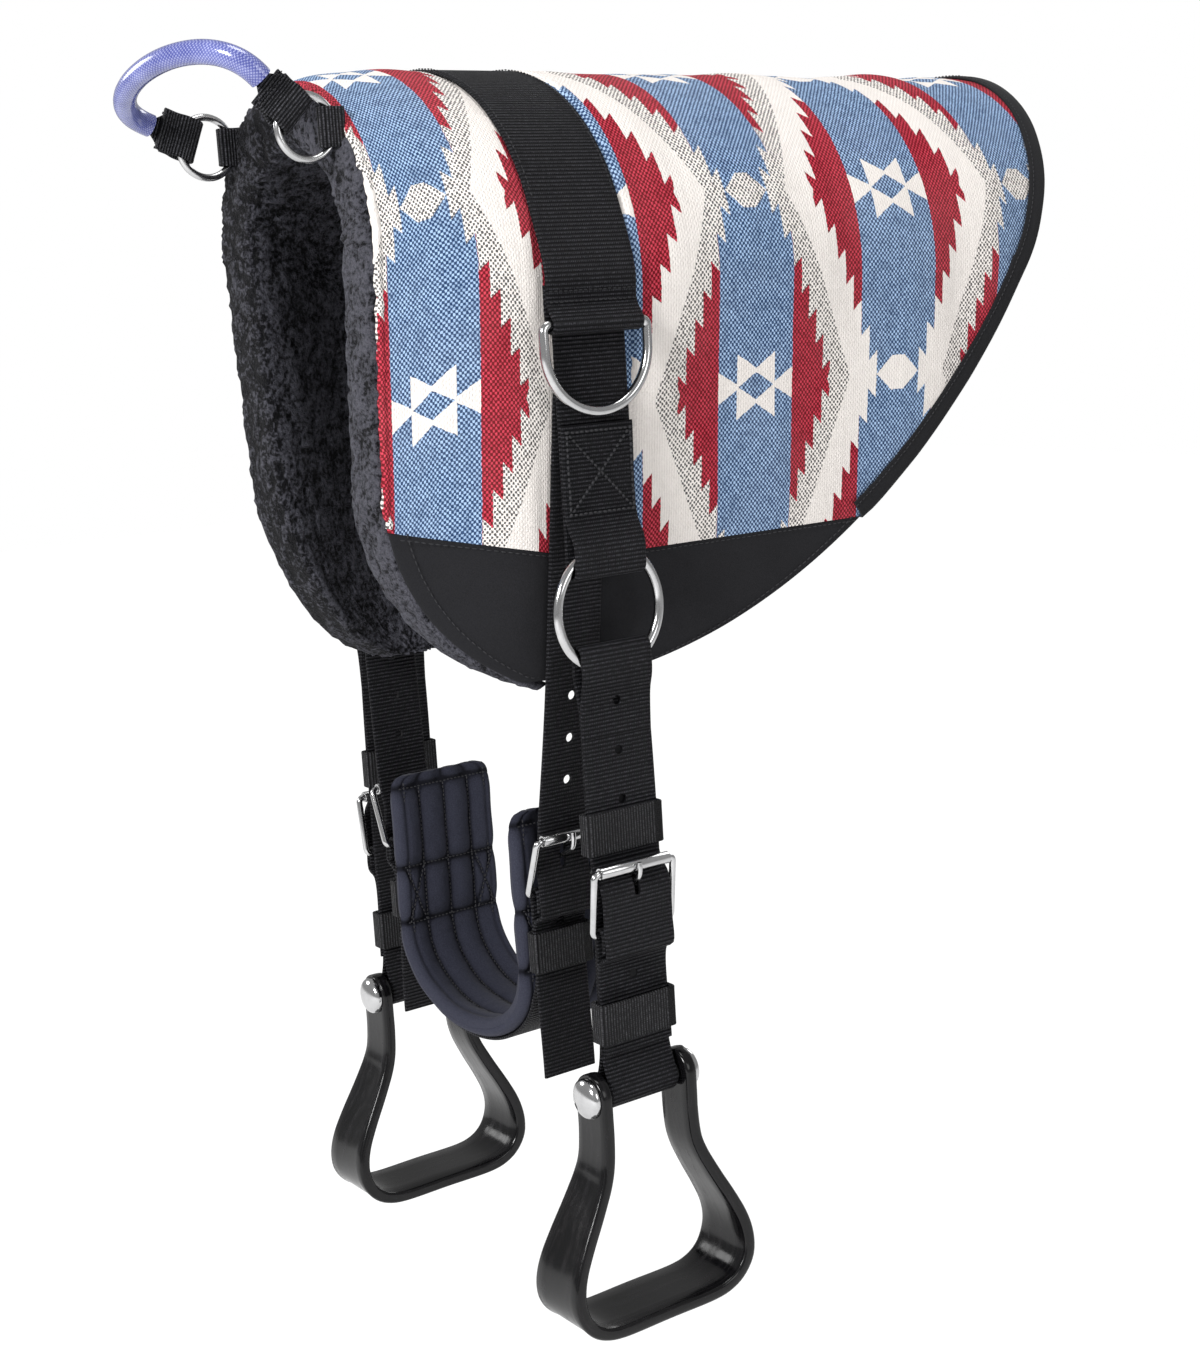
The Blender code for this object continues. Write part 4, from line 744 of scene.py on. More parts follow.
def layer(name, stations, outer, inner, ink, puff, front=0.0, rear=0.0, edge=0.0015, columns=80,
          charted=False):
    """A closed layer of the pad.  front and rear set its edges in, and its edges are rounded."""
    rings, charts = [], []
    thick = inner - outer
    bulge = min(edge, thick / 2)
    rim = ((0.75, 0.2), (1.0, 0.5), (0.75, 0.8))
    for station in stations:
        start, end = front_edge(station) + front, rear_edge(station) - rear
        if end - start < 0.004:
            middle = (start + end) / 2
            start, end = middle - 0.002, middle + 0.002
        top, low, chart_top = [], [], []
        for i in range(columns + 1):
            y = start + (end - start) * (i / columns)
            lift = puff(y, station, min(y - start, end - y))
            top.append(pad_point(y, station, outer - lift))
            low.append(pad_point(y, station, inner + max(-lift, 0.0)))
            chart_top.append(cloth_chart(y, station))
        drop = max(-puff(start, station, 0.0), 0.0)
        near = [pad_point(start - bulge * past, station, outer + drop + thick * deep) for past, deep in rim]
        far = [pad_point(end + bulge * past, station, outer + thick * deep) for past, deep in rim]
        rings.append(top + far + low[::-1] + near[::-1])
        charts += chart_top + [chart_top[-1]] * 3 + chart_top[::-1] + [chart_top[0]] * 3
    return skinned(name, rings, ink, {"cloth": charts} if charted else None, 70)


def cover_puff(y, station, from_edge):
    """The cloth is drawn down at its sewn edges and under the surcingle, and swells between them."""
    past_strap = abs(y) - SURCINGLE_WIDTH / 2
    drawn = 1.0 - math.exp(-max(from_edge, 0.0) / 0.012)
    strap = math.exp(-((past_strap - 0.020) / 0.020) ** 2) if past_strap > 0.0 else 0.0
    free = 0.0 if past_strap < 0.002 else 1.0
    seam = 1.0 - math.exp(-max(2.0 - abs(station), 0.0) / 0.10)
    down = arc_at(y, abs(station))
    roll = noise.noise(Vector((y * 17.0, down * 4.5, math.copysign(3.0, station)))) * 0.0030
    roll += noise.noise(Vector((y * 38.0, down * 9.0, math.copysign(8.0, station)))) * 0.0013
    swelling = (0.0016 * drawn + 0.0012 * strap + roll * drawn) * seam * free
    return max(swelling, -0.0004) - 0.0006 * (1 - drawn) - front_drop(y, station)


def make_cover():
    cover = layer("saddle_cloth_cover", stations_to(2.0, 60, 26), 0.0, 0.0024, "cover", cover_puff,
                  edge=0.0010, columns=150, charted=True)
    area = sum(polygon.area for polygon in cover.data.polygons)
    length = CREST_FRONT + CREST_REAR
    girdle = 2 * arc_at(CREST_REAR, 2.0)
    settle(cover, "pad", "woven_cover")
    round(min(area / 2, girdle * length), 4)


def make_felt():
    felt = layer("felt_body", stations_to(2.985, 40, 14, 12), FELT_FACE + 0.0012, FLEECE_FACE, "felt",
                 lambda y, station, from_edge: -front_drop(y, station) * 1.1, 0.012, 0.002, 0.004, 60)
    settle(felt, "pad", "felt_core")


def make_fleece():
    """The pile lining: it covers the inside, rolls round the front edge and shows along the hem."""
    columns, back = 180, 24
    glued = FLEECE_FACE + 0.0003
    rings = []
    for station in stations_to(3.06, 96, 40, 22):
        start, end = front_edge(station), rear_edge(station) + 0.002
        if end - start < 0.02:
            middle = (start + end) / 2
            start, end = middle - 0.010, middle + 0.010
        cover_up = 0.0030 * far_share(station)
        ring = [(start + (end - start) * (i / columns), PAD_THICK) for i in range(columns + 1)]
        ring += [(end + 0.0035, PAD_THICK - 0.003), (end + 0.0045, PAD_THICK - 0.008),
                 (end + 0.0030, FLEECE_FACE + 0.002), (end - 0.003, glued)]
        ring += [(end - 0.008 - (end - 0.008 - start - 0.010) * i / back, glued) for i in range(back + 1)]
        ring += [(start + 0.0085, FLEECE_FACE - 0.004), (start + 0.0085, 0.014), (start + 0.007, 0.0100),
                 (start + 0.004, 0.0088)]
        for a in (math.radians(angle) for angle in range(0, 181, 12)):
            ring.append((start - 0.0055 * math.sin(a) ** 0.8,
                         0.0240 - cover_up - (0.0158 + cover_up) * math.cos(a)))
        rings.append([pad_point(y, station, depth) for y, depth in ring])
    fleece = skinned("fleece_pile", rings, "fleece")
    settle_pile(fleece)
    settle(fleece, "pad", "fleece_lining")


def settle_pile(obj):
    """Curls: the surface stands up in matted locks along its normals, and remembers how high, with a painted
    shade taken off that height on the far flap and most on its front rim.
    """
    mesh = obj.data
    count = len(mesh.vertices)
    co, no = np.zeros(count * 3, np.float32), np.zeros(count * 3, np.float32)
    mesh.vertices.foreach_get("co", co)
    mesh.vertex_normals.foreach_get("vector", no)
    co, no = co.reshape(-1, 3), no.reshape(-1, 3)
    height = np.zeros(count, np.float32)
    for i in range(count):
        p = Vector(co[i])
        q = p + noise.noise_vector(p * 38.0) * 0.014
        lock = 1.0 - min(abs(noise.noise(q * 62.0)) * 4.2, 1.0)
        tuft = 1.0 - min(abs(noise.noise(q * 210.0 + Vector((3.0, 5.0, 7.0)))) * 2.6, 1.0)
        height[i] = 0.16 + 0.38 * (1.0 - lock) + 0.28 * (1.0 - tuft) + noise.noise(q * 360.0) * 0.40
    co += no * ((height - 0.45) * 0.0036)[:, None]
    # Painted shade: the far flap, and most of all its rim facing the front, get a lower stored height so that
    # they colour darker.
    far = np.clip((0.03 - co[:, 0]) / 0.03, 0.0, 1.0)
    rim = np.clip(-no[:, 1] * 1.4, 0.0, 1.0)
    height -= far * (0.10 + 0.34 * rim)
    mesh.vertices.foreach_set("co", co.ravel())
    mesh.attributes.new("pile_height_and_shade", "FLOAT", "POINT").data.foreach_set("value", height)
    mesh.update()


def make_wear_leather(label, side):
    def puff(y, station, from_edge):
        dent = noise.noise(Vector((y * 14.0, abs(station) * 2.0, side))) * 0.0008
        return dent - 0.0003 - front_drop(y, station)

    rows = [side * (2.0 + 0.004 + 0.993 * math.sin(math.pi / 2 * i / 22)) for i in range(23)]
    leather = layer(f"suede_{label}", rows, 0.0, 0.0021, "leather", puff, edge=0.0009, columns=90)
    settle(leather, "pad", f"wear_leather_{label}")


def edge_line(side, inset, lift, first=2.0, last=2.96, count=60):
    """Points along the outline of a flap, a distance inside its edge."""
    points = []
    stations = [first + (last - first) * math.sin(math.pi / 2 * i / count) for i in range(count + 1)]
    for station in stations:
        y = front_edge(station) + inset
        points.append(pad_point(y, side * station, front_drop(y, station) - lift))
    for station in reversed(stations):
        y = rear_edge(station) - inset
        if y > front_edge(station) + inset:
            points.append(pad_point(y, side * station, -lift))
    return points


def make_binding():
    """Suede strip folded over the rear edge, sewn through."""
    rows = stations_to(2.0, 56, 24)
    outline = [Vector((rear_edge(s), math.copysign(arc_at(CREST_REAR, abs(s)), s))) for s in rows]
    crown_run, above = arc_at(CREST_REAR, 1.0), flap_runs(CREST_REAR)[0]
    profile = [(0.0122, 0.0004), (0.0126, 0.0010), (0.0122, 0.0018), (0.0060, 0.0023), (0.0006, 0.0022),
               (-0.0016, 0.0016), (-0.0026, 0.0004), (-0.0029, -0.006), (-0.0030, -0.014), (-0.0028, -0.0230),
               (-0.0020, -0.0242), (-0.0010, -0.0236), (-0.0011, -0.012), (-0.0010, 0.0001), (0.004, 0.0006)]
    rings, sewn = [], []
    for station, place, out in zip(rows, outline, outs(outline)):
        scale = crown_run if abs(station) < 1.0 else above
        wave = noise.noise(Vector((place.x * 30.0, place.y * 30.0, 4.0))) * 0.0007

        def inside(inward, up):
            return pad_point(place.x + out.x * inward, station + out.y * inward / scale, -up)

        rings.append([inside(inward + wave, up + (0.0010 if inward > 0.0 else 0.0))
                      for inward, up in profile])
        sewn.append(inside(0.0100, 0.0034))
    binding = skinned("edge_binding", rings, "binding", sharp=50)
    settle(binding, "pad", "rear_binding")
    stitch_rows("binding_stitches", [sewn], "pad")


# Webbing paths

def seat(radius, wire_radius, width, steps):
    """How far from a ring's centre a flat fold of this width comes to rest."""
    inner = radius * math.cos(math.pi / steps) - wire_radius
    return math.sqrt(inner ** 2 - (width / 2) ** 2) + wire_radius


def make_surcingle():
    outer_x = RETURN_X + PLY + GAP
    half = [(point.x, point.z) for point in (pad_point(0.0, row / 15, -0.0015) for row in range(12))]
    half += [(outer_x, DEE_Z + 0.027 + PLY), (outer_x, DEE_Z + 0.011)]
    half += arc((DEE_X, DEE_Z), wrap_of(DEE_WIRE), 30, -180, 10) + [(RETURN_X, DEE_Z + 0.022)]
    path = [(-x, z) for x, z in reversed(half[1:])] + half
    strap = ribbon("surcingle", path, SURCINGLE_WIDTH, upright(1.0), "webbing", 0.004)
    settle(strap, "pad", "surcingle_strap")
    rows = []
    for _, side in SIDES:
        x = side * (outer_x + PLY / 2 + THREAD_LIFT)
        rows += [[(x, -0.029, z), (x, 0.029, z)] for z in (DEE_Z + 0.0125, DEE_Z + 0.0185)]
    for y in (-0.0285, 0.0285):
        rows.append([pad_point(y, row / 16 * 0.72, -0.0031) for row in range(-16, 17)])
    stitch_rows("surcingle_stitches", rows, "pad", radius=0.00042)


def make_lower_strap(label, side):
    wrap = wrap_of(RING_WIRE)
    clear = RING_RADIUS + RING_WIRE + GAP
    tail_x = LOWER_X + LAP_STEP
    path = [(LOWER_X, DEE_Z + 0.027 - RING_Z), (LOWER_X, clear + 0.013)]
    path += arc((RING_X, seat(RING_RADIUS, RING_WIRE, STIRRUP_WEB, 32)), wrap, 180, 360, 10)
    path += [(RING_X + wrap, clear), (tail_x, clear + 0.013), (tail_x, 0.108)]
    strap = ribbon(f"lower_webbing_{label}", path, STIRRUP_WEB, upright(side, z0=RING_Z), "webbing")
    settle(strap, "pad", f"lower_strap_{label}")
    face, half = side * (tail_x + PLY / 2 + THREAD_LIFT), 0.0225
    corners = ((-half, 0.057), (half, 0.057), (half, 0.104), (-half, 0.104))
    a, b, c, d = [(face, y, RING_Z + up) for y, up in corners]
    stitch_rows(f"lower_stitches_{label}", [[a, b, c, d, a], [a, c], [b, d]], "pad", radius=0.00080)


def punch_holes(obj, sides, holes):
    """Round holes (x_low, x_high, y, z, radius) through webbing, with x counted outwards from the middle."""
    verts, faces = [], []
    for side, (x_low, x_high, y, z, radius) in ((side, hole) for side in sides for hole in holes):
        if side < 0:
            x_low, x_high = -x_high, -x_low
        rims = [[Vector((x, y + radius * c, z + radius * s)) for c, s in circle(18)] for x in (x_low, x_high)]
        part_verts, part_faces = skin(rims)
        faces += [tuple(len(verts) + v for v in face) for face in part_faces]
        verts += part_verts
    cutter = face_outwards(make_piece("hole_cutter", verts, faces, "webbing"))
    boolean = obj.modifiers.new("holes", "BOOLEAN")
    boolean.operation, boolean.solver, boolean.object, boolean.use_self = "DIFFERENCE", "EXACT", cutter, True
    mesh = bake(obj)
    obj.modifiers.clear()
    obj.data = mesh
    bpy.data.objects.remove(cutter)
    mesh.shade_smooth()
    mesh.set_sharp_from_angle(angle=math.radians(50))


def slot_holes(x_low, x_high, y, low, step, count, radius):
    """A slot, as a row of holes that overlap."""
    return [(x_low, x_high, y, low + step * i, radius) for i in range(count)]


def buckle_depths(main_x, roller_out):
    """How far out the heel bar, the tail, the ply over it and the roller lie."""
    heel_x = main_x + PLY / 2 + GAP + BUCKLE_WIRE
    tail_x = heel_x + wrap_of(BUCKLE_WIRE)
    return heel_x, tail_x, tail_x + LAP_STEP, roller_out + PLY / 2 + LAP + BUCKLE_WIRE + LAP + 0.0012


def make_stirrup_strap(label, side):
    back_x, front_x = RING_X - LAP_STEP / 2, RING_X + LAP_STEP / 2
    behind = front_x + PLY * 1.4
    heel_x, tail_x, over_x, roller_x = buckle_depths(front_x, behind)
    tip_x, tail_end = front_x + LAP_STEP, HEEL_Z - 0.011
    wrap, heel_wrap = wrap_of(RING_WIRE), wrap_of(BUCKLE_WIRE)
    ring_seat = RING_Z - seat(RING_RADIUS, RING_WIRE, STIRRUP_WEB, 32)
    clear = RING_Z - RING_RADIUS - RING_WIRE - GAP
    path = [(tip_x, RING_Z - 0.268), (tip_x, tail_end - 0.0066), (over_x, tail_end - PLY),
            (over_x, HEEL_Z + heel_wrap), (over_x - 0.0010, ROLLER_Z - 0.0105), (behind, ROLLER_Z - 0.0025),
            (front_x, ROLLER_Z + 0.039 / 7), (front_x, clear - 0.013), (RING_X + wrap, clear)]
    path += arc((RING_X, ring_seat), wrap, 0, 180, 10)
    path += [(RING_X - wrap, clear), (back_x, clear - 0.013), (back_x, BOLT_Z + 0.022)]
    path += arc((RING_X, BOLT_Z), SLEEVE_RADIUS + LAP + PLY / 2, 162, 378, 14)
    path += [(front_x, BOLT_Z + 0.022), (front_x, HEEL_Z)]
    path += arc((heel_x, HEEL_Z), heel_wrap, 180, 0, 8)[1:] + [(tail_x, tail_end)]
    strap = ribbon(f"stirrup_webbing_{label}", path, STIRRUP_WEB, upright(side), "webbing")
    face = front_x + PLY / 2 + THREAD_LIFT
    holes = [(RING_X, front_x + PLY, 0.0, RING_Z - 0.054 - 0.030 * i, EYELET) for i in range(3)]
    holes.append((face, over_x + PLY, 0.0, RING_Z - 0.222, EYELET))
    holes += slot_holes(heel_x - heel_wrap - PLY, tail_x + PLY / 2 + THREAD_LIFT, 0.0, HEEL_Z - 0.0020,
                        0.0022, 4, TONGUE_SLOT)
    holes += slot_holes(front_x + PLY / 2 + 0.0006, over_x + PLY, 0.0, ROLLER_Z - 0.0155, 0.0016, 6,
                        SHANK_SLOT)
    punch_holes(strap, (side,), holes)
    body = f"stirrup_strap_{label}"
    settle(strap, body, body)
    row = [(side * face, -0.020, RING_Z - 0.262), (side * (tip_x + PLY / 2), 0.020, RING_Z - 0.262)]
    stitch_rows(f"strap_tip_stitches_{label}", [row], body, 0.003)
    make_buckle(label, side, 0.0, STIRRUP_WEB, (heel_x, HEEL_Z), (roller_x, ROLLER_Z), "stirrup")
    for level, drop, outer in (("upper", 0.132, front_x), ("lower", 0.248, tip_x)):
        make_keeper(f"{level}_keeper_{label}", side, 0.0, RING_Z - drop, back_x - PLY / 2, outer + PLY / 2,
                    STIRRUP_WEB)


def make_keeper(name, side, y_centre, z, inner_low, inner_high, width):
    half = width / 2 + LAP + PLY / 2
    low, high = inner_low - LAP - PLY / 2, inner_high + LAP + PLY / 2
    corner = 0.0016
    path = []
    for turn, (a, b) in enumerate(((high - corner, half - corner), (low + corner, half - corner),
                                   (low + corner, -half + corner), (high - corner, -half + corner))):
        path += arc((a, b), corner, turn * 90, turn * 90 + 90, 4)
    loop = ribbon(name + "_loop", path, KEEPER_HEIGHT,
                  lambda a, b, w: Vector((side * a, y_centre + b, z + w)), "keeper", 0.004, PLY * 0.92, True)
    settle(loop, name, name)


def make_buckle(label, side, y_centre, width, heel, roller, kind):
    """Frame of round wire, a roller on its outer bar, and a tongue on the heel bar."""
    half = width / 2 + 0.0016 + BUCKLE_WIRE
    run = Vector((roller[0] - heel[0], roller[1] - heel[1]))
    length = run.length
    run.normalize()
    corner = 0.0034
    flat = []
    for turn, (u, v) in enumerate(((half - corner, length - corner), (-half + corner, length - corner),
                                   (-half + corner, corner), (half - corner, corner))):
        flat += arc((u, v), corner, turn * 90, turn * 90 + 90, 7)
    points = [Vector((side * (heel[0] + run.x * v), y_centre + u, heel[1] + run.y * v)) for u, v in flat]
    settle(wire(f"{kind}_buckle_frame_{label}", points, BUCKLE_WIRE, "steel"),
           "girth" if kind == "girth" else f"stirrup_strap_{label}", f"{kind}_buckle_{label}")

    bore, wall, reach = 0.0025, 0.0037, width / 2
    profile = [(-reach, bore), (-reach, wall - 0.0003), (-reach + 0.0004, wall), (reach - 0.0004, wall),
               (reach, wall - 0.0003), (reach, bore)]
    tube = lathe(f"{kind}_roller_tube_{label}", profile, (side * roller[0], y_centre, roller[1]), "satin", 32)
    settle(tube, f"{kind}_roller_{label}", f"{kind}_roller_{label}")

    profile = [(-0.0025, 0.0024), (-0.0025, 0.0034), (-0.0019, 0.0038), (0.0019, 0.0038), (0.0025, 0.0034),
               (0.0025, 0.0024)]
    eye = lathe(f"{kind}_tongue_eye_{label}", profile, (side * heel[0], y_centre, heel[1]), "satin", 28)
    tip_x = roller[0] + (BUCKLE_WIRE + LAP + 0.0012 + GAP + TONGUE_WIRE)
    leave = roller[1] - 0.0135 - (roller[0] - heel[0] - 0.0050) * 0.5
    line = finer([(heel[0] + 0.0002, heel[1] + 0.0032), (heel[0] - 0.0004, (heel[1] + leave) / 2),
                  (heel[0] - 0.0005, leave), (roller[0] - 0.0010, roller[1] - 0.0094),
                  (roller[0] + 0.0042, roller[1] - 0.0060), (tip_x + 0.0002, roller[1] - 0.0010),
                  (tip_x, roller[1] + 0.003)], 0.0010)
    shank = wire(f"{kind}_tongue_pin_{label}", [(side * a, y_centre, b) for a, b in line], TONGUE_WIRE,
                 "satin", False, 14)
    settle(eye, f"{kind}_tongue_{label}", f"{kind}_tongue_{label}")
    settle(shank, f"{kind}_tongue_{label}", None)


def make_dee(label, side):
    half, corner, drop = 0.0362, 0.0040, 0.050 - 0.0362
    points = arc((-half + corner, DEE_Z - corner), corner, 180, 90, 8)
    points += arc((half - corner, DEE_Z - corner), corner, 90, 0, 8)
    points += arc((0.0, DEE_Z - drop), half, 0, -180, 48)
    dee = wire(f"dee_{label}", [(side * DEE_X, y, z) for y, z in points], DEE_WIRE, "steel", sides=20)
    settle(dee, f"upper_dee_{label}", f"upper_dee_{label}")


def make_ring(label, side):
    points = [(side * RING_X, y, z) for y, z in arc((0.0, RING_Z), RING_RADIUS, 0, 360, 84)[:-1]]
    ring = wire(f"ring_{label}", points, RING_WIRE, "steel", sides=20)
    settle(ring, f"o_ring_{label}", f"o_ring_{label}")


# Stirrups

def stirrup_line():
    """Half of the middle line, from over the bolt to the tread, as (y, z, half depth)."""
    arm_y, arm_depth = ARM_Y + ARM_THICK / 2, 0.0145
    bow = ((0.0335, 0.28), (0.0368, 0.35), (0.0418, 0.42), (0.0473, 0.49), (0.0523, 0.55), (0.0570, 0.61),
           (0.0612, 0.67), (0.0640, 0.73), (0.0650, 0.79), (0.0636, 0.85), (0.0596, 0.90), (0.0535, 0.938),
           (0.0455, 0.962), (0.0360, 0.9725))
    points = []
    for angle in range(0, 91, 6):
        points.append((arm_y, BOLT_Z + arm_depth * math.cos(math.radians(angle)),
                       arm_depth * math.sin(math.radians(max(angle, 5)))))
    lower = [(arm_y, BOLT_Z - 0.010, arm_depth), (arm_y, BOLT_Z - 0.024, arm_depth)]
    lower += [(y, BOLT_Z - STIRRUP_DROP * down, arm_depth + 0.009 * clamped((down - 0.25) / 0.6))
              for y, down in bow]
    lower.append((0.0, BOLT_Z - STIRRUP_DROP + 0.004, 0.0235))
    return points + [tuple(p) for p in finer([Vector(p) for p in lower], 0.0035)]


def make_stirrup(label, side):
    half = stirrup_line()
    line = half + [(-y, z, d) for y, z, d in reversed(half[:-1])]
    thick = ARM_THICK / 2
    rings = []
    for (y, z, depth), out in zip(line, outs(line)):
        dish = thick - (0.0007 if z < BOLT_Z - 0.05 else 0.0)
        edge = min(0.0018, depth / 2)
        soft = edge * 0.35
        section = [(-thick, depth - edge), (-thick + soft, depth - edge * 0.3), (-thick + edge, depth),
                   (thick - edge, depth), (thick - soft, depth - edge * 0.3), (thick, depth - edge),
                   (dish, depth * 0.62), (dish, 0.0), (dish, -depth * 0.62),
                   (thick, -depth + edge), (thick - soft, -depth + edge * 0.3), (thick - edge, -depth),
                   (-thick + edge, -depth), (-thick + soft, -depth + edge * 0.3), (-thick, -depth + edge),
                   (-thick, -depth * 0.5), (-thick, 0.0), (-thick, depth * 0.5)]
        rings.append([Vector((side * RING_X + deep, y + out.x * across, z + out.y * across))
                      for across, deep in section])
    chart = [(k * 0.0031 if k < 9 else (18 - k) * 0.0031 + 0.009, i * 0.0035)
             for i in range(len(rings)) for k in range(18)]
    body = f"stirrup_{label}"
    settle(skinned(f"moulded_stirrup_{label}", rings, "plastic", {"run": chart}, 55), body, body)

    outer, reach = ARM_Y + ARM_THICK + GAP, ARM_Y - GAP
    dome = [(outer + (0.0012 + 0.0055 * math.sin(a)), 0.0125 * math.cos(a))
            for a in (math.radians(angle) for angle in range(0, 90, 9))]
    nut = [(outer, 0.0), (outer, 0.0121), (outer + 0.0002, 0.0125)] + dome + [(outer + 0.0067, 0.0)]
    bolt = [(-along, radius) for along, radius in reversed(nut[1:])]
    bolt += [(-outer, 0.004), (outer - 0.0015, 0.004), (outer - 0.0015, 0.0)]
    sleeve = [(-reach, 0.0043), (-reach, SLEEVE_RADIUS - 0.0004), (-reach + 0.0004, SLEEVE_RADIUS),
              (reach - 0.0004, SLEEVE_RADIUS), (reach, SLEEVE_RADIUS - 0.0004), (reach, 0.0043)]
    for name, profile, node, ink, steps in (
            ("dome_bolt", bolt, "stirrup_bolt", "steel", 48), ("dome_nut", nut, "stirrup_nut", "steel", 48),
            ("strap_sleeve", sleeve, "stirrup_sleeve", "sleeve", 36)):
        piece = lathe(f"{name}_{label}", profile, (side * RING_X, 0.0, BOLT_Z), ink, steps)
        settle(piece, body, f"{node}_{label}")


# Girth

def ridge(distance, width):
    """1 on a line, falling off to both sides of it."""
    return math.exp(-(distance / width) ** 2)


def girth_line(offset=0.0):
    """The U of the girth, moved outwards by offset."""
    top, legs, bows = RING_Z - 0.126, 3, 14
    leg = [(GIRTH_SPAN, top + (GIRTH_BEND - top) * i / legs) for i in range(legs)]
    bow = [(GIRTH_SPAN * math.cos(math.pi * i / bows), GIRTH_BEND - 0.048 * math.sin(math.pi * i / bows))
           for i in range(bows + 1)]
    line = leg + bow + [(-x, z) for x, z in reversed(leg)]
    return [(x + out.x * offset, z + out.y * offset) for (x, z), out in zip(line, outs(line))]


def make_girth():
    """Padded cotton over foam: four sewn channels, two cross seams on each leg, rolled edges."""
    fine = finer(girth_line(), 0.0016)
    normals = outs(fine)
    run = [0.0]
    for a, b in zip(fine, fine[1:]):
        run.append(run[-1] + math.hypot(b[0] - a[0], b[1] - a[1]))
    length = run[-1]
    half_t, half_w, columns = GIRTH_THICK / 2, GIRTH_WIDTH / 2, 58
    channels = (-0.50, 0.0, 0.50)
    near_seams = (0.0075, 0.062, 0.100)
    seams = near_seams + tuple(length - s for s in near_seams)
    crosses = []
    for low, high in ((seams[1], seams[2]), (seams[5], seams[4])):
        for left, right in ((-0.88 * half_w, -0.54 * half_w), (0.54 * half_w, 0.88 * half_w)):
            crosses += [((left, low), (right, high)), ((right, low), (left, high))]

    def on_cross(wide, along):
        """1 on the line of a sewn cross."""
        near = 0.0060
        for (w0, s0), (w1, s1) in crosses:
            if s0 - 0.002 < along < s1 + 0.002:
                off = ((wide - w0) * (s1 - s0) - (along - s0) * (w1 - w0)) / math.hypot(w1 - w0, s1 - s0)
                near = min(near, abs(off))
        return ridge(near, 0.0011)

    rings, chart, seam_and_valley_shade = [], [], []
    for (x, z), out, s in zip(fine, normals, run):
        end = min(s, length - s)
        close = 1.0 - 0.55 * math.exp(-end / 0.006)
        cross, soft_cross = (sum(ridge(s - c, width) for c in seams) for width in (0.0016, 0.006))
        corner = max(1.0 - end / 0.009, 0.0)
        spread = half_w - 0.009 * (1.0 - math.sqrt(1.0 - corner * corner))
        ring = []
        for face in (1, -1):
            for k in range(columns + 1)[::face]:
                share = -1.0 + 2.0 * k / columns
                share = math.copysign(1.0 - (1.0 - abs(share)) ** 1.15, share)
                edge = 1.0 - abs(share)
                rim = (1.0 - (1.0 - min(edge / 0.16, 1.0)) ** 2.4) ** 0.5
                groove, valley = (sum(ridge((share - c) * half_w, width) for c in channels)
                                  for width in (0.0012, 0.0048))
                border = ridge(edge * half_w - 0.0065, 0.0010)
                crossed = on_cross(share * half_w, s)
                pucker = noise.noise(Vector((s * 190.0, share * 6.0, face * 3.0))) * 0.00055
                roll = noise.noise(Vector((s * 28.0, share * 2.3, face * 9.0))) * 0.0007
                sink = (0.0014 * groove + 0.0022 * valley + 0.0014 * cross + 0.0020 * soft_cross
                        + 0.0010 * border + 0.0016 * crossed)
                full = half_t * rim * close
                depth = full - min(sink, full * 0.75)
                depth += (pucker * (0.35 + 1.1 * min(soft_cross + valley, 1.0)) + roll) * rim
                wide = spread * share + noise.noise(Vector((s * 40.0, share, 2.0))) * 0.0006
                ring.append(Vector((x + out.x * depth * face, GIRTH_Y + wide, z + out.y * depth * face)))
                chart.append((wide, s))
                # Darker on the sewn lines, which are dark in the cloth too, and painted shade in their sunken
                # grooves and, more softly, in the valleys beside them.
                dark = groove + cross + 0.75 * crossed + 0.5 * border + 0.25 * (valley + soft_cross)
                seam_and_valley_shade.append(min(dark, 1.0))
        rings.append(ring)
    girth = skinned("quilted_girth", rings, "girth", {"run": chart}, 80)
    girth.data.attributes.new("seam", "FLOAT", "POINT").data.foreach_set("value", seam_and_valley_shade)
    sewn = [i for i, (wide, along) in enumerate(chart)
            if min(abs(wide - c * half_w) for c in channels) < 0.0013
            or min(abs(along - c) for c in seams) < 0.0015 or on_cross(wide, along) > 0.4
            or half_w - abs(wide) < 0.0070 or min(along, length - along) < 0.006]
    swell(girth, sewn, 3.0, 0.0030)
    settle(girth, "girth", "girth_pad")

    def on_face(s, share, depth):
        i = min(range(len(run)), key=lambda k: abs(run[k] - s))
        x, z = fine[i]
        return Vector((x + normals[i].x * depth, GIRTH_Y + share * half_w, z + normals[i].y * depth))

    rows = []
    for sign in (1.0, -1.0):
        for places, ends, sunk in ((channels, 0.010, 0.0030), ((-0.82, 0.82), 0.004, 0.0014)):
            rows += [[on_face(s, share, sign * (half_t - sunk)) for s in np.linspace(ends, length - ends, 90)]
                     for share in places]
        rows += [[on_face(c, share, sign * (half_t - 0.0028)) for share in np.linspace(-0.87, 0.87, 15)]
                 for c in seams]
        for (w0, s0), (w1, s1) in crosses:
            rows.append([on_face(s0 + (s1 - s0) * q, (w0 + (w1 - w0) * q) / half_w, sign * (half_t - 0.0012))
                         for q in np.linspace(0.03, 0.97, 14)])
    stitch_rows("girth_stitches", rows, "girth", 0.0028, 0.00048)


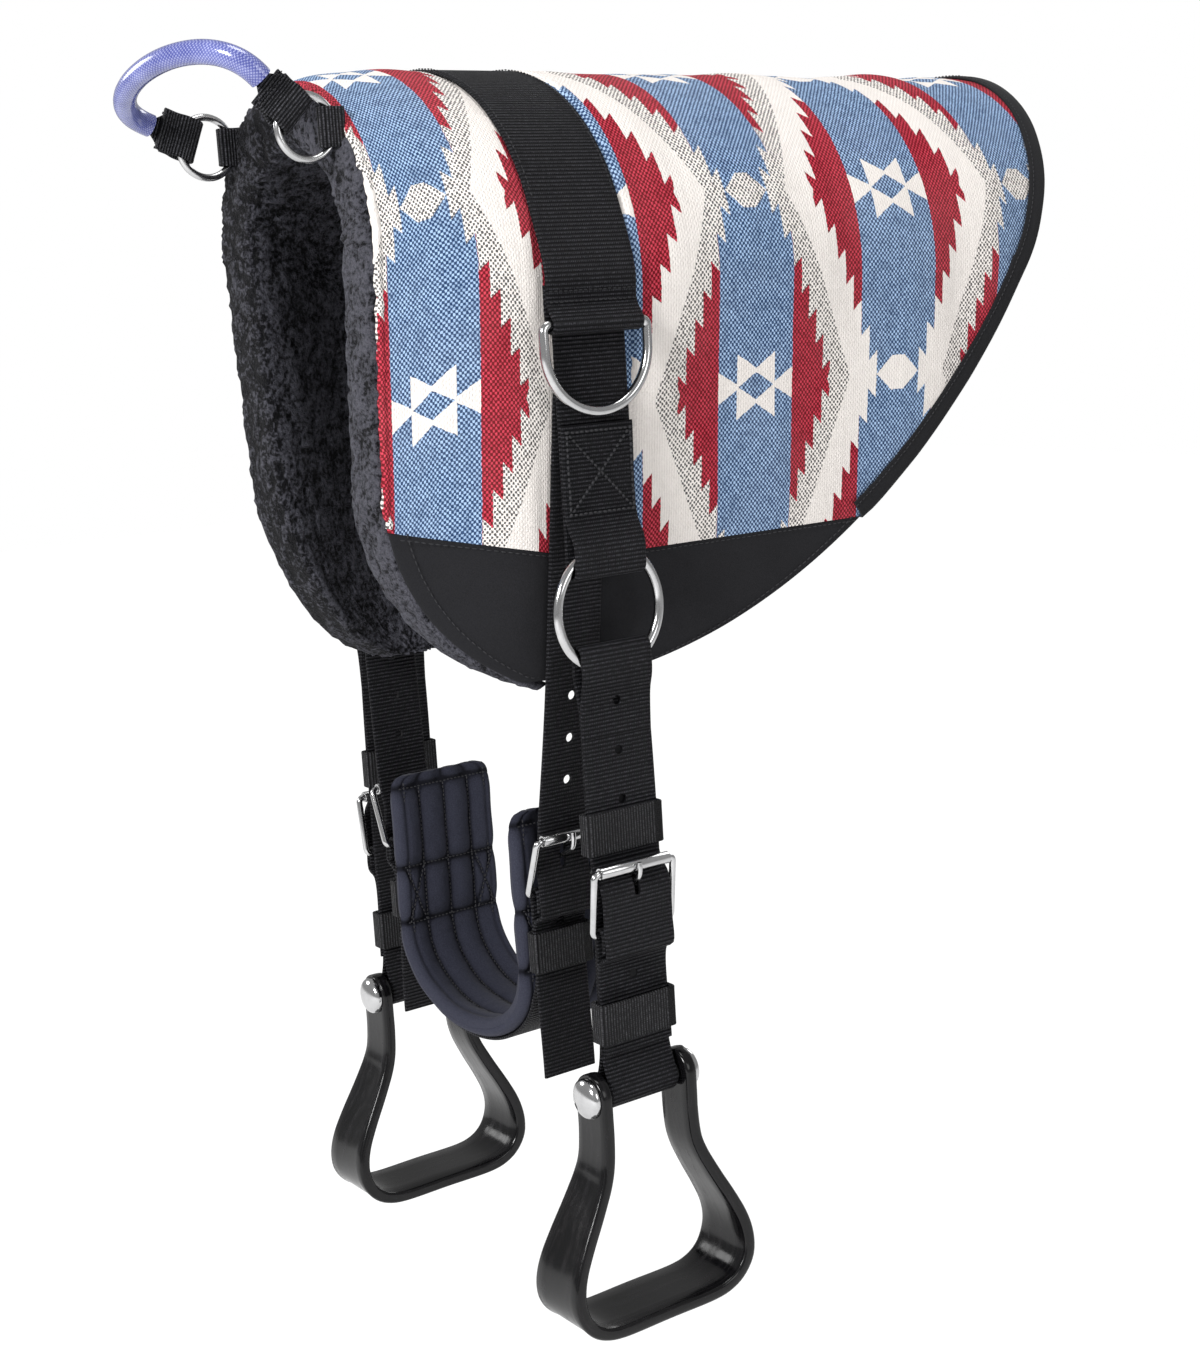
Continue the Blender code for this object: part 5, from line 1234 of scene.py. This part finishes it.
def make_girth_straps():
    web_x = GIRTH_SPAN + GIRTH_THICK / 2 + LAP + PLY + LAP + PLY / 2
    behind = web_x + LAP_STEP * 4.2
    heel_x, tail_x, over_x, roller_x = buckle_depths(web_x, behind)
    roller_z = RING_Z - 0.139
    heel_z = roller_z - 0.036
    tail_end, tip_x = heel_z - 0.011, web_x + LAP_STEP
    bow = [(x, z) for x, z in girth_line(GIRTH_THICK / 2 + wrap_of(0.0)) if z < GIRTH_BEND - GIRTH_THICK]
    near = [(tail_x, tail_end)] + arc((heel_x, heel_z), wrap_of(BUCKLE_WIRE), 0, 180, 8)
    near.append((web_x, GIRTH_BEND))
    path = near + bow + [(-x, z) for x, z in reversed(near)]
    under = ribbon("girth_underweb", path, BILLET_WIDTH, upright(1.0, BILLET_Y), "webbing")
    punch_holes(under, (1.0, -1.0), slot_holes(web_x - PLY, tail_x + PLY, BILLET_Y, heel_z - 0.0034,
                                               0.0017, 5, TONGUE_SLOT))
    settle(under, "girth", "girth_webbing")

    top_x, top_z, knee_z = LOWER_X - PLY / 2 - GAP - PLY / 2, RING_Z + 0.140, RING_Z - 0.050
    flap = pad_point(0.0, 1.0, 0.0)
    knee_x = flap.x - (flap.z - knee_z) * math.tan(FLAP_SLOPE) + 0.0032
    lean_from = roller_z + 0.012

    def lean(z):
        return BILLET_Y + 0.013 * max(z - lean_from, 0.0) / (top_z - lean_from)

    path = [(top_x, top_z), (knee_x, knee_z), (behind + PLY, lean_from), (behind, roller_z - 0.0025),
            (over_x - 0.0010, roller_z - 0.0105), (over_x, heel_z + BUCKLE_WIRE + PLY),
            (over_x, tail_end - PLY), (tip_x, tail_end - 0.0066), (tip_x, RING_Z - 0.293)]
    eyelets = [RING_Z - 0.052 - 0.026 * i for i in range(3)]
    holes = [(behind - PLY, top_x + PLY, lean(z), z, EYELET) for z in eyelets]
    holes.append((web_x + PLY / 2 + THREAD_LIFT, over_x + PLY, BILLET_Y, RING_Z - 0.195, EYELET))
    holes += slot_holes(web_x + PLY, knee_x + PLY, BILLET_Y, roller_z - 0.0187, 0.0016, 9, SHANK_SLOT)
    for label, side in SIDES:
        billet = ribbon(f"billet_webbing_{label}", path, BILLET_WIDTH,
                        lambda x, z, w: Vector((side * x, lean(z) + w, z)), "webbing")
        punch_holes(billet, (side,), holes)
        settle(billet, "girth", f"billet_{label}")
        make_buckle(label, side, BILLET_Y, BILLET_WIDTH, (heel_x, heel_z), (roller_x, roller_z), "girth")
        make_keeper(f"girth_keeper_{label}", side, BILLET_Y, RING_Z - 0.212, web_x - PLY / 2, tip_x + PLY / 2,
                    BILLET_WIDTH)


# Handle

def handle_point(x, along, across):
    tilt = NEAR_TILT + (FAR_TILT - NEAR_TILT) * (1 - x / (HANDLE_X + 0.0014)) / 2
    u = Vector((0.0, -math.cos(tilt), math.sin(tilt)))
    w = Vector((0.0, math.sin(tilt), math.cos(tilt)))
    return Vector((x, HANDLE_Y, HANDLE_Z)) + u * along + w * across


def make_handle():
    leg_x, steps = HANDLE_X + LAP_STEP / 2, 48
    turns = [math.pi * i / steps for i in range(steps + 1)]
    arch = [(leg_x * math.cos(t), HANDLE_LEG + HANDLE_RISE * 0.92 * math.sin(t) ** 0.86) for t in turns]
    normals = outs(arch)

    def section(i, deep, wide, sides):
        (x, along), out = arch[i], normals[i]
        return [handle_point(x + out.x * (deep * c), along + out.y * (deep * c), wide * s)
                for c, s in circle(sides)]

    places = range(steps + 1)
    order = [(0, TUBE_RADIUS - 0.0008), (0, TUBE_RADIUS - 0.0002)] + [(i, TUBE_RADIUS) for i in places]
    order += [(steps, TUBE_RADIUS - 0.0002), (steps, TUBE_RADIUS - 0.0008)]
    order += [(i, TUBE_BORE) for i in places[::-1]]
    chart = [(abs(k - 12) * 0.0017, i * 0.0031) for i, _ in order for k in range(24)]
    tube = skinned("grip_tube", [section(i, r, r, 24) for i, r in order], "tube", {"run": chart}, 50, True)
    settle(tube, "handle", "handle_tube")

    wrap = wrap_of(GRIP_WIRE)
    in_x, out_x = HANDLE_X - LAP_STEP / 2, leg_x
    clear = GRIP_RING + GRIP_WIRE + GAP
    path = [(in_x, HANDLE_LEG - PLY * 2), (in_x, clear + PLY), (HANDLE_X - wrap, clear - PLY)]
    path += arc((HANDLE_X, seat(GRIP_RING, GRIP_WIRE, HANDLE_WEB, 20)), wrap, 180, 360, 8)
    path += [(HANDLE_X + wrap, clear - PLY), (out_x, clear + PLY), (out_x, HANDLE_LEG - PLY * 3),
             (out_x, HANDLE_LEG)]

    def taper(share):
        return HANDLE_WEB + (0.0080 - HANDLE_WEB) * (max(share - 0.86, 0.0) / 0.14) ** 0.8

    rows, widths = [], np.linspace(-0.0105, 0.0105, 8)
    for label, side in SIDES:
        flat = ribbon(f"handle_end_{label}", path, taper, lambda a, b, w: handle_point(side * a, b, w),
                      "narrow", 0.0016)
        settle(flat, "handle", "handle_webbing" if side > 0 else None)
        out_face, in_face = out_x + PLY / 2 + THREAD_LIFT, in_x - PLY / 2 - THREAD_LIFT
        for face, below in ((out_face, 0.0085), (out_face, 0.0058), (in_face, 0.0075)):
            rows.append([handle_point(side * face, HANDLE_LEG - below, w) for w in widths])
    chart = [(k * 0.001, i * 0.0031) for i in places for k in range(16)]
    rings = [section(i, 0.0022, 0.0043, 16) for i in places]
    rolled = skinned("rolled_webbing", rings, "narrow", {"run": chart})
    settle(rolled, "handle", None)
    stitch_rows("handle_stitches", rows, "handle", 0.0024, 0.00042)

    for label, side in SIDES:
        points = [(side * HANDLE_X, HANDLE_Y + y, HANDLE_Z + z)
                  for y, z in arc((0.0, 0.0), GRIP_RING, 0, 360, 56)[:-1]]
        ring = wire(f"grip_ring_{label}", points, GRIP_WIRE, "satin")
        settle(ring, "handle", f"handle_ring_{label}")
        make_tab(label, side)


def make_tab(label, side):
    wrap = wrap_of(GRIP_WIRE)
    face = -CREST_FRONT - GAP - PLY / 2
    path = [(-wrap - 0.012, face), (wrap, face)]
    path += arc((0.0, HANDLE_Y + seat(GRIP_RING, GRIP_WIRE, TAB_WIDTH, 20)), wrap, 0, -180, 8)
    path += [(-wrap - PLY, face - LAP_STEP), (-wrap - 0.012, face - LAP_STEP)]
    tab = ribbon(f"ring_tab_{label}", path, TAB_WIDTH,
                 lambda a, b, w: Vector((side * (HANDLE_X + a), b, HANDLE_Z + w)), "narrow", 0.0014)
    settle(tab, "pad", f"handle_tab_{label}")
    out = face - LAP_STEP - PLY / 2 - THREAD_LIFT
    rows = [[Vector((side * (HANDLE_X - wrap - PLY - d), out, HANDLE_Z + w))
             for w in np.linspace(-0.009, 0.009, 7)] for d in (0.0015, 0.0045)]
    stitch_rows(f"tab_stitches_{label}", rows, "pad", 0.0026)


# Sewing and the turned-in cloth round the flaps

def make_edge_sewing():
    start, end = front_edge(2.0) + 0.004, rear_edge(2.0) - 0.006
    rows = []
    for _, side in SIDES:
        rows.append(edge_line(side, 0.0085, 0.0008))
        rows.append([pad_point(start + (end - start) * i / 79, side * 2.03, -0.0006) for i in range(80)])
    stitch_rows("suede_stitches", rows, "pad", 0.0042)


def make_front_fold():
    """The woven cloth turned in along the front edge, which shows as a soft, uneven roll."""
    rings, charts = [], []
    for i in range(361):
        station = -1.985 + 3.97 * i / 360
        y, far = front_edge(station), far_share(station)
        sway = noise.noise(Vector((station * 16.0, 2.0, 5.0))) * 0.0017
        sway += noise.noise(Vector((station * 41.0, 1.0, 5.0))) * 0.0008
        size = 0.0026 + noise.noise(Vector((station * 23.0, 7.0, 1.0))) * 0.0007
        girdle, along = cloth_chart(y, station)
        rings.append([pad_point(y + 0.0006 + 0.0045 * far + sway - size * c, station,
                                0.0068 - 0.0015 * far - size * s) for c, s in circle(14)])
        charts += [(girdle, along - size * (1.2 + c * 1.6)) for c, s in circle(14)]
    settle(skinned("front_fold", rings, "cover", {"cloth": charts}), "pad", None)


# Setting

def make_floor():
    """A pale plain floor, which glows a little so that it stays white between the lights."""
    low = BOLT_Z - STIRRUP_DROP - 0.16
    paint = Paint("studio_floor", (0.92, 0.92, 0.92), 0.9)
    paint.colour(paint.grain(3.0, 2.0), (0.90, 0.90, 0.90), (0.94, 0.94, 0.94))
    nodes, links = paint.tree.nodes, paint.tree.links
    glow, blend = nodes.new("ShaderNodeEmission"), nodes.new("ShaderNodeMixShader")
    paint.feed(glow.inputs["Color"], (1.0, 1.0, 1.0))
    paint.feed(glow.inputs["Strength"], 1.12)
    paint.feed(blend.inputs[0], paint.node("LightPath") * 0.85)
    links.new(paint.shader.outputs[0], blend.inputs[1])
    links.new(glow.outputs[0], blend.inputs[2])
    links.new(blend.outputs[0], nodes["Material Output"].inputs[0])
    INKS["floor"] = paint.material
    verts = [(-6, -6, low), (6, -6, low), (6, 6, low), (-6, 6, low)]
    make_piece("floor", verts, [(0, 1, 2, 3)], "floor", smooth=False)


def make_lights():
    """White all round for the camera, but less of it on the black webbing, and five lamps."""
    world = scene.world = bpy.data.worlds.new("studio")
    world.use_nodes = True
    tree = world.node_tree
    background = tree.nodes["Background"]
    background.inputs["Color"].default_value = (1.0, 1.0, 1.0, 1.0)
    paths, strength = tree.nodes.new("ShaderNodeLightPath"), tree.nodes.new("ShaderNodeMath")
    strength.operation = "MULTIPLY_ADD"
    tree.links.new(paths.outputs["Is Camera Ray"], strength.inputs[0])
    strength.inputs[1].default_value = 1.0 - WHITE_AROUND
    strength.inputs[2].default_value = WHITE_AROUND
    tree.links.new(strength.outputs[0], background.inputs["Strength"])
    lamps = (("key", (0.9, -2.5, 1.0), 0.9, 80.0), ("fill", (2.7, 0.4, 0.5), 1.4, 13.0),
             ("top", (0.3, 0.2, 2.4), 1.2, 26.0), ("rim", (-2.0, -1.3, 0.6), 1.0, 14.0),
             ("back", (-1.0, 2.5, 0.9), 1.3, 14.0))
    for name, place, size, power in lamps:
        light = bpy.data.lights.new(name, "AREA")
        light.shape, light.size, light.energy = "DISK", size, power
        lamp = bpy.data.objects.new(name, light)
        lamp.location = place
        aim = Vector((0.0, 0.1, -0.3)) - Vector(place)
        lamp.rotation_euler = aim.to_track_quat("-Z", "Y").to_euler()
        scene.collection.objects.link(lamp)
    scene.view_settings.view_transform = "Standard"


def make_camera():
    """The pinhole that was fitted to the photo."""
    azimuth, elevation, roll = (math.radians(v) for v in (54.72, 10.82, -3.41))
    back = Vector((math.sin(azimuth) * math.cos(elevation), -math.cos(azimuth) * math.cos(elevation),
                   math.sin(elevation)))
    level = Vector((math.cos(azimuth), math.sin(azimuth), 0.0))
    upwards = back.cross(level)
    right = level * math.cos(roll) + upwards * math.sin(roll)
    up = upwards * math.cos(roll) - level * math.sin(roll)
    data = bpy.data.cameras.new("camera")
    data.sensor_fit = "VERTICAL"
    data.sensor_height = data.sensor_width = 36.0
    data.lens = FOCAL_PIXELS / PICTURE_HEIGHT * 36.0
    data.clip_end = 30.0
    camera = bpy.data.objects.new("camera", data)
    turn = Matrix((right, up, back)).transposed().to_4x4()
    camera.matrix_world = Matrix.Translation(CAMERA_PLACE) @ turn
    scene.collection.objects.link(camera)
    scene.camera = camera


make_camera()
make_cover()
make_felt()
make_fleece()
make_binding()
make_surcingle()
make_girth()
make_girth_straps()
make_handle()
for side_label, side_sign in SIDES:
    make_wear_leather(side_label, side_sign)
    make_dee(side_label, side_sign)
    make_ring(side_label, side_sign)
    make_lower_strap(side_label, side_sign)
    make_stirrup_strap(side_label, side_sign)
    make_stirrup(side_label, side_sign)
make_edge_sewing()
make_front_fold()
make_floor()
make_lights()
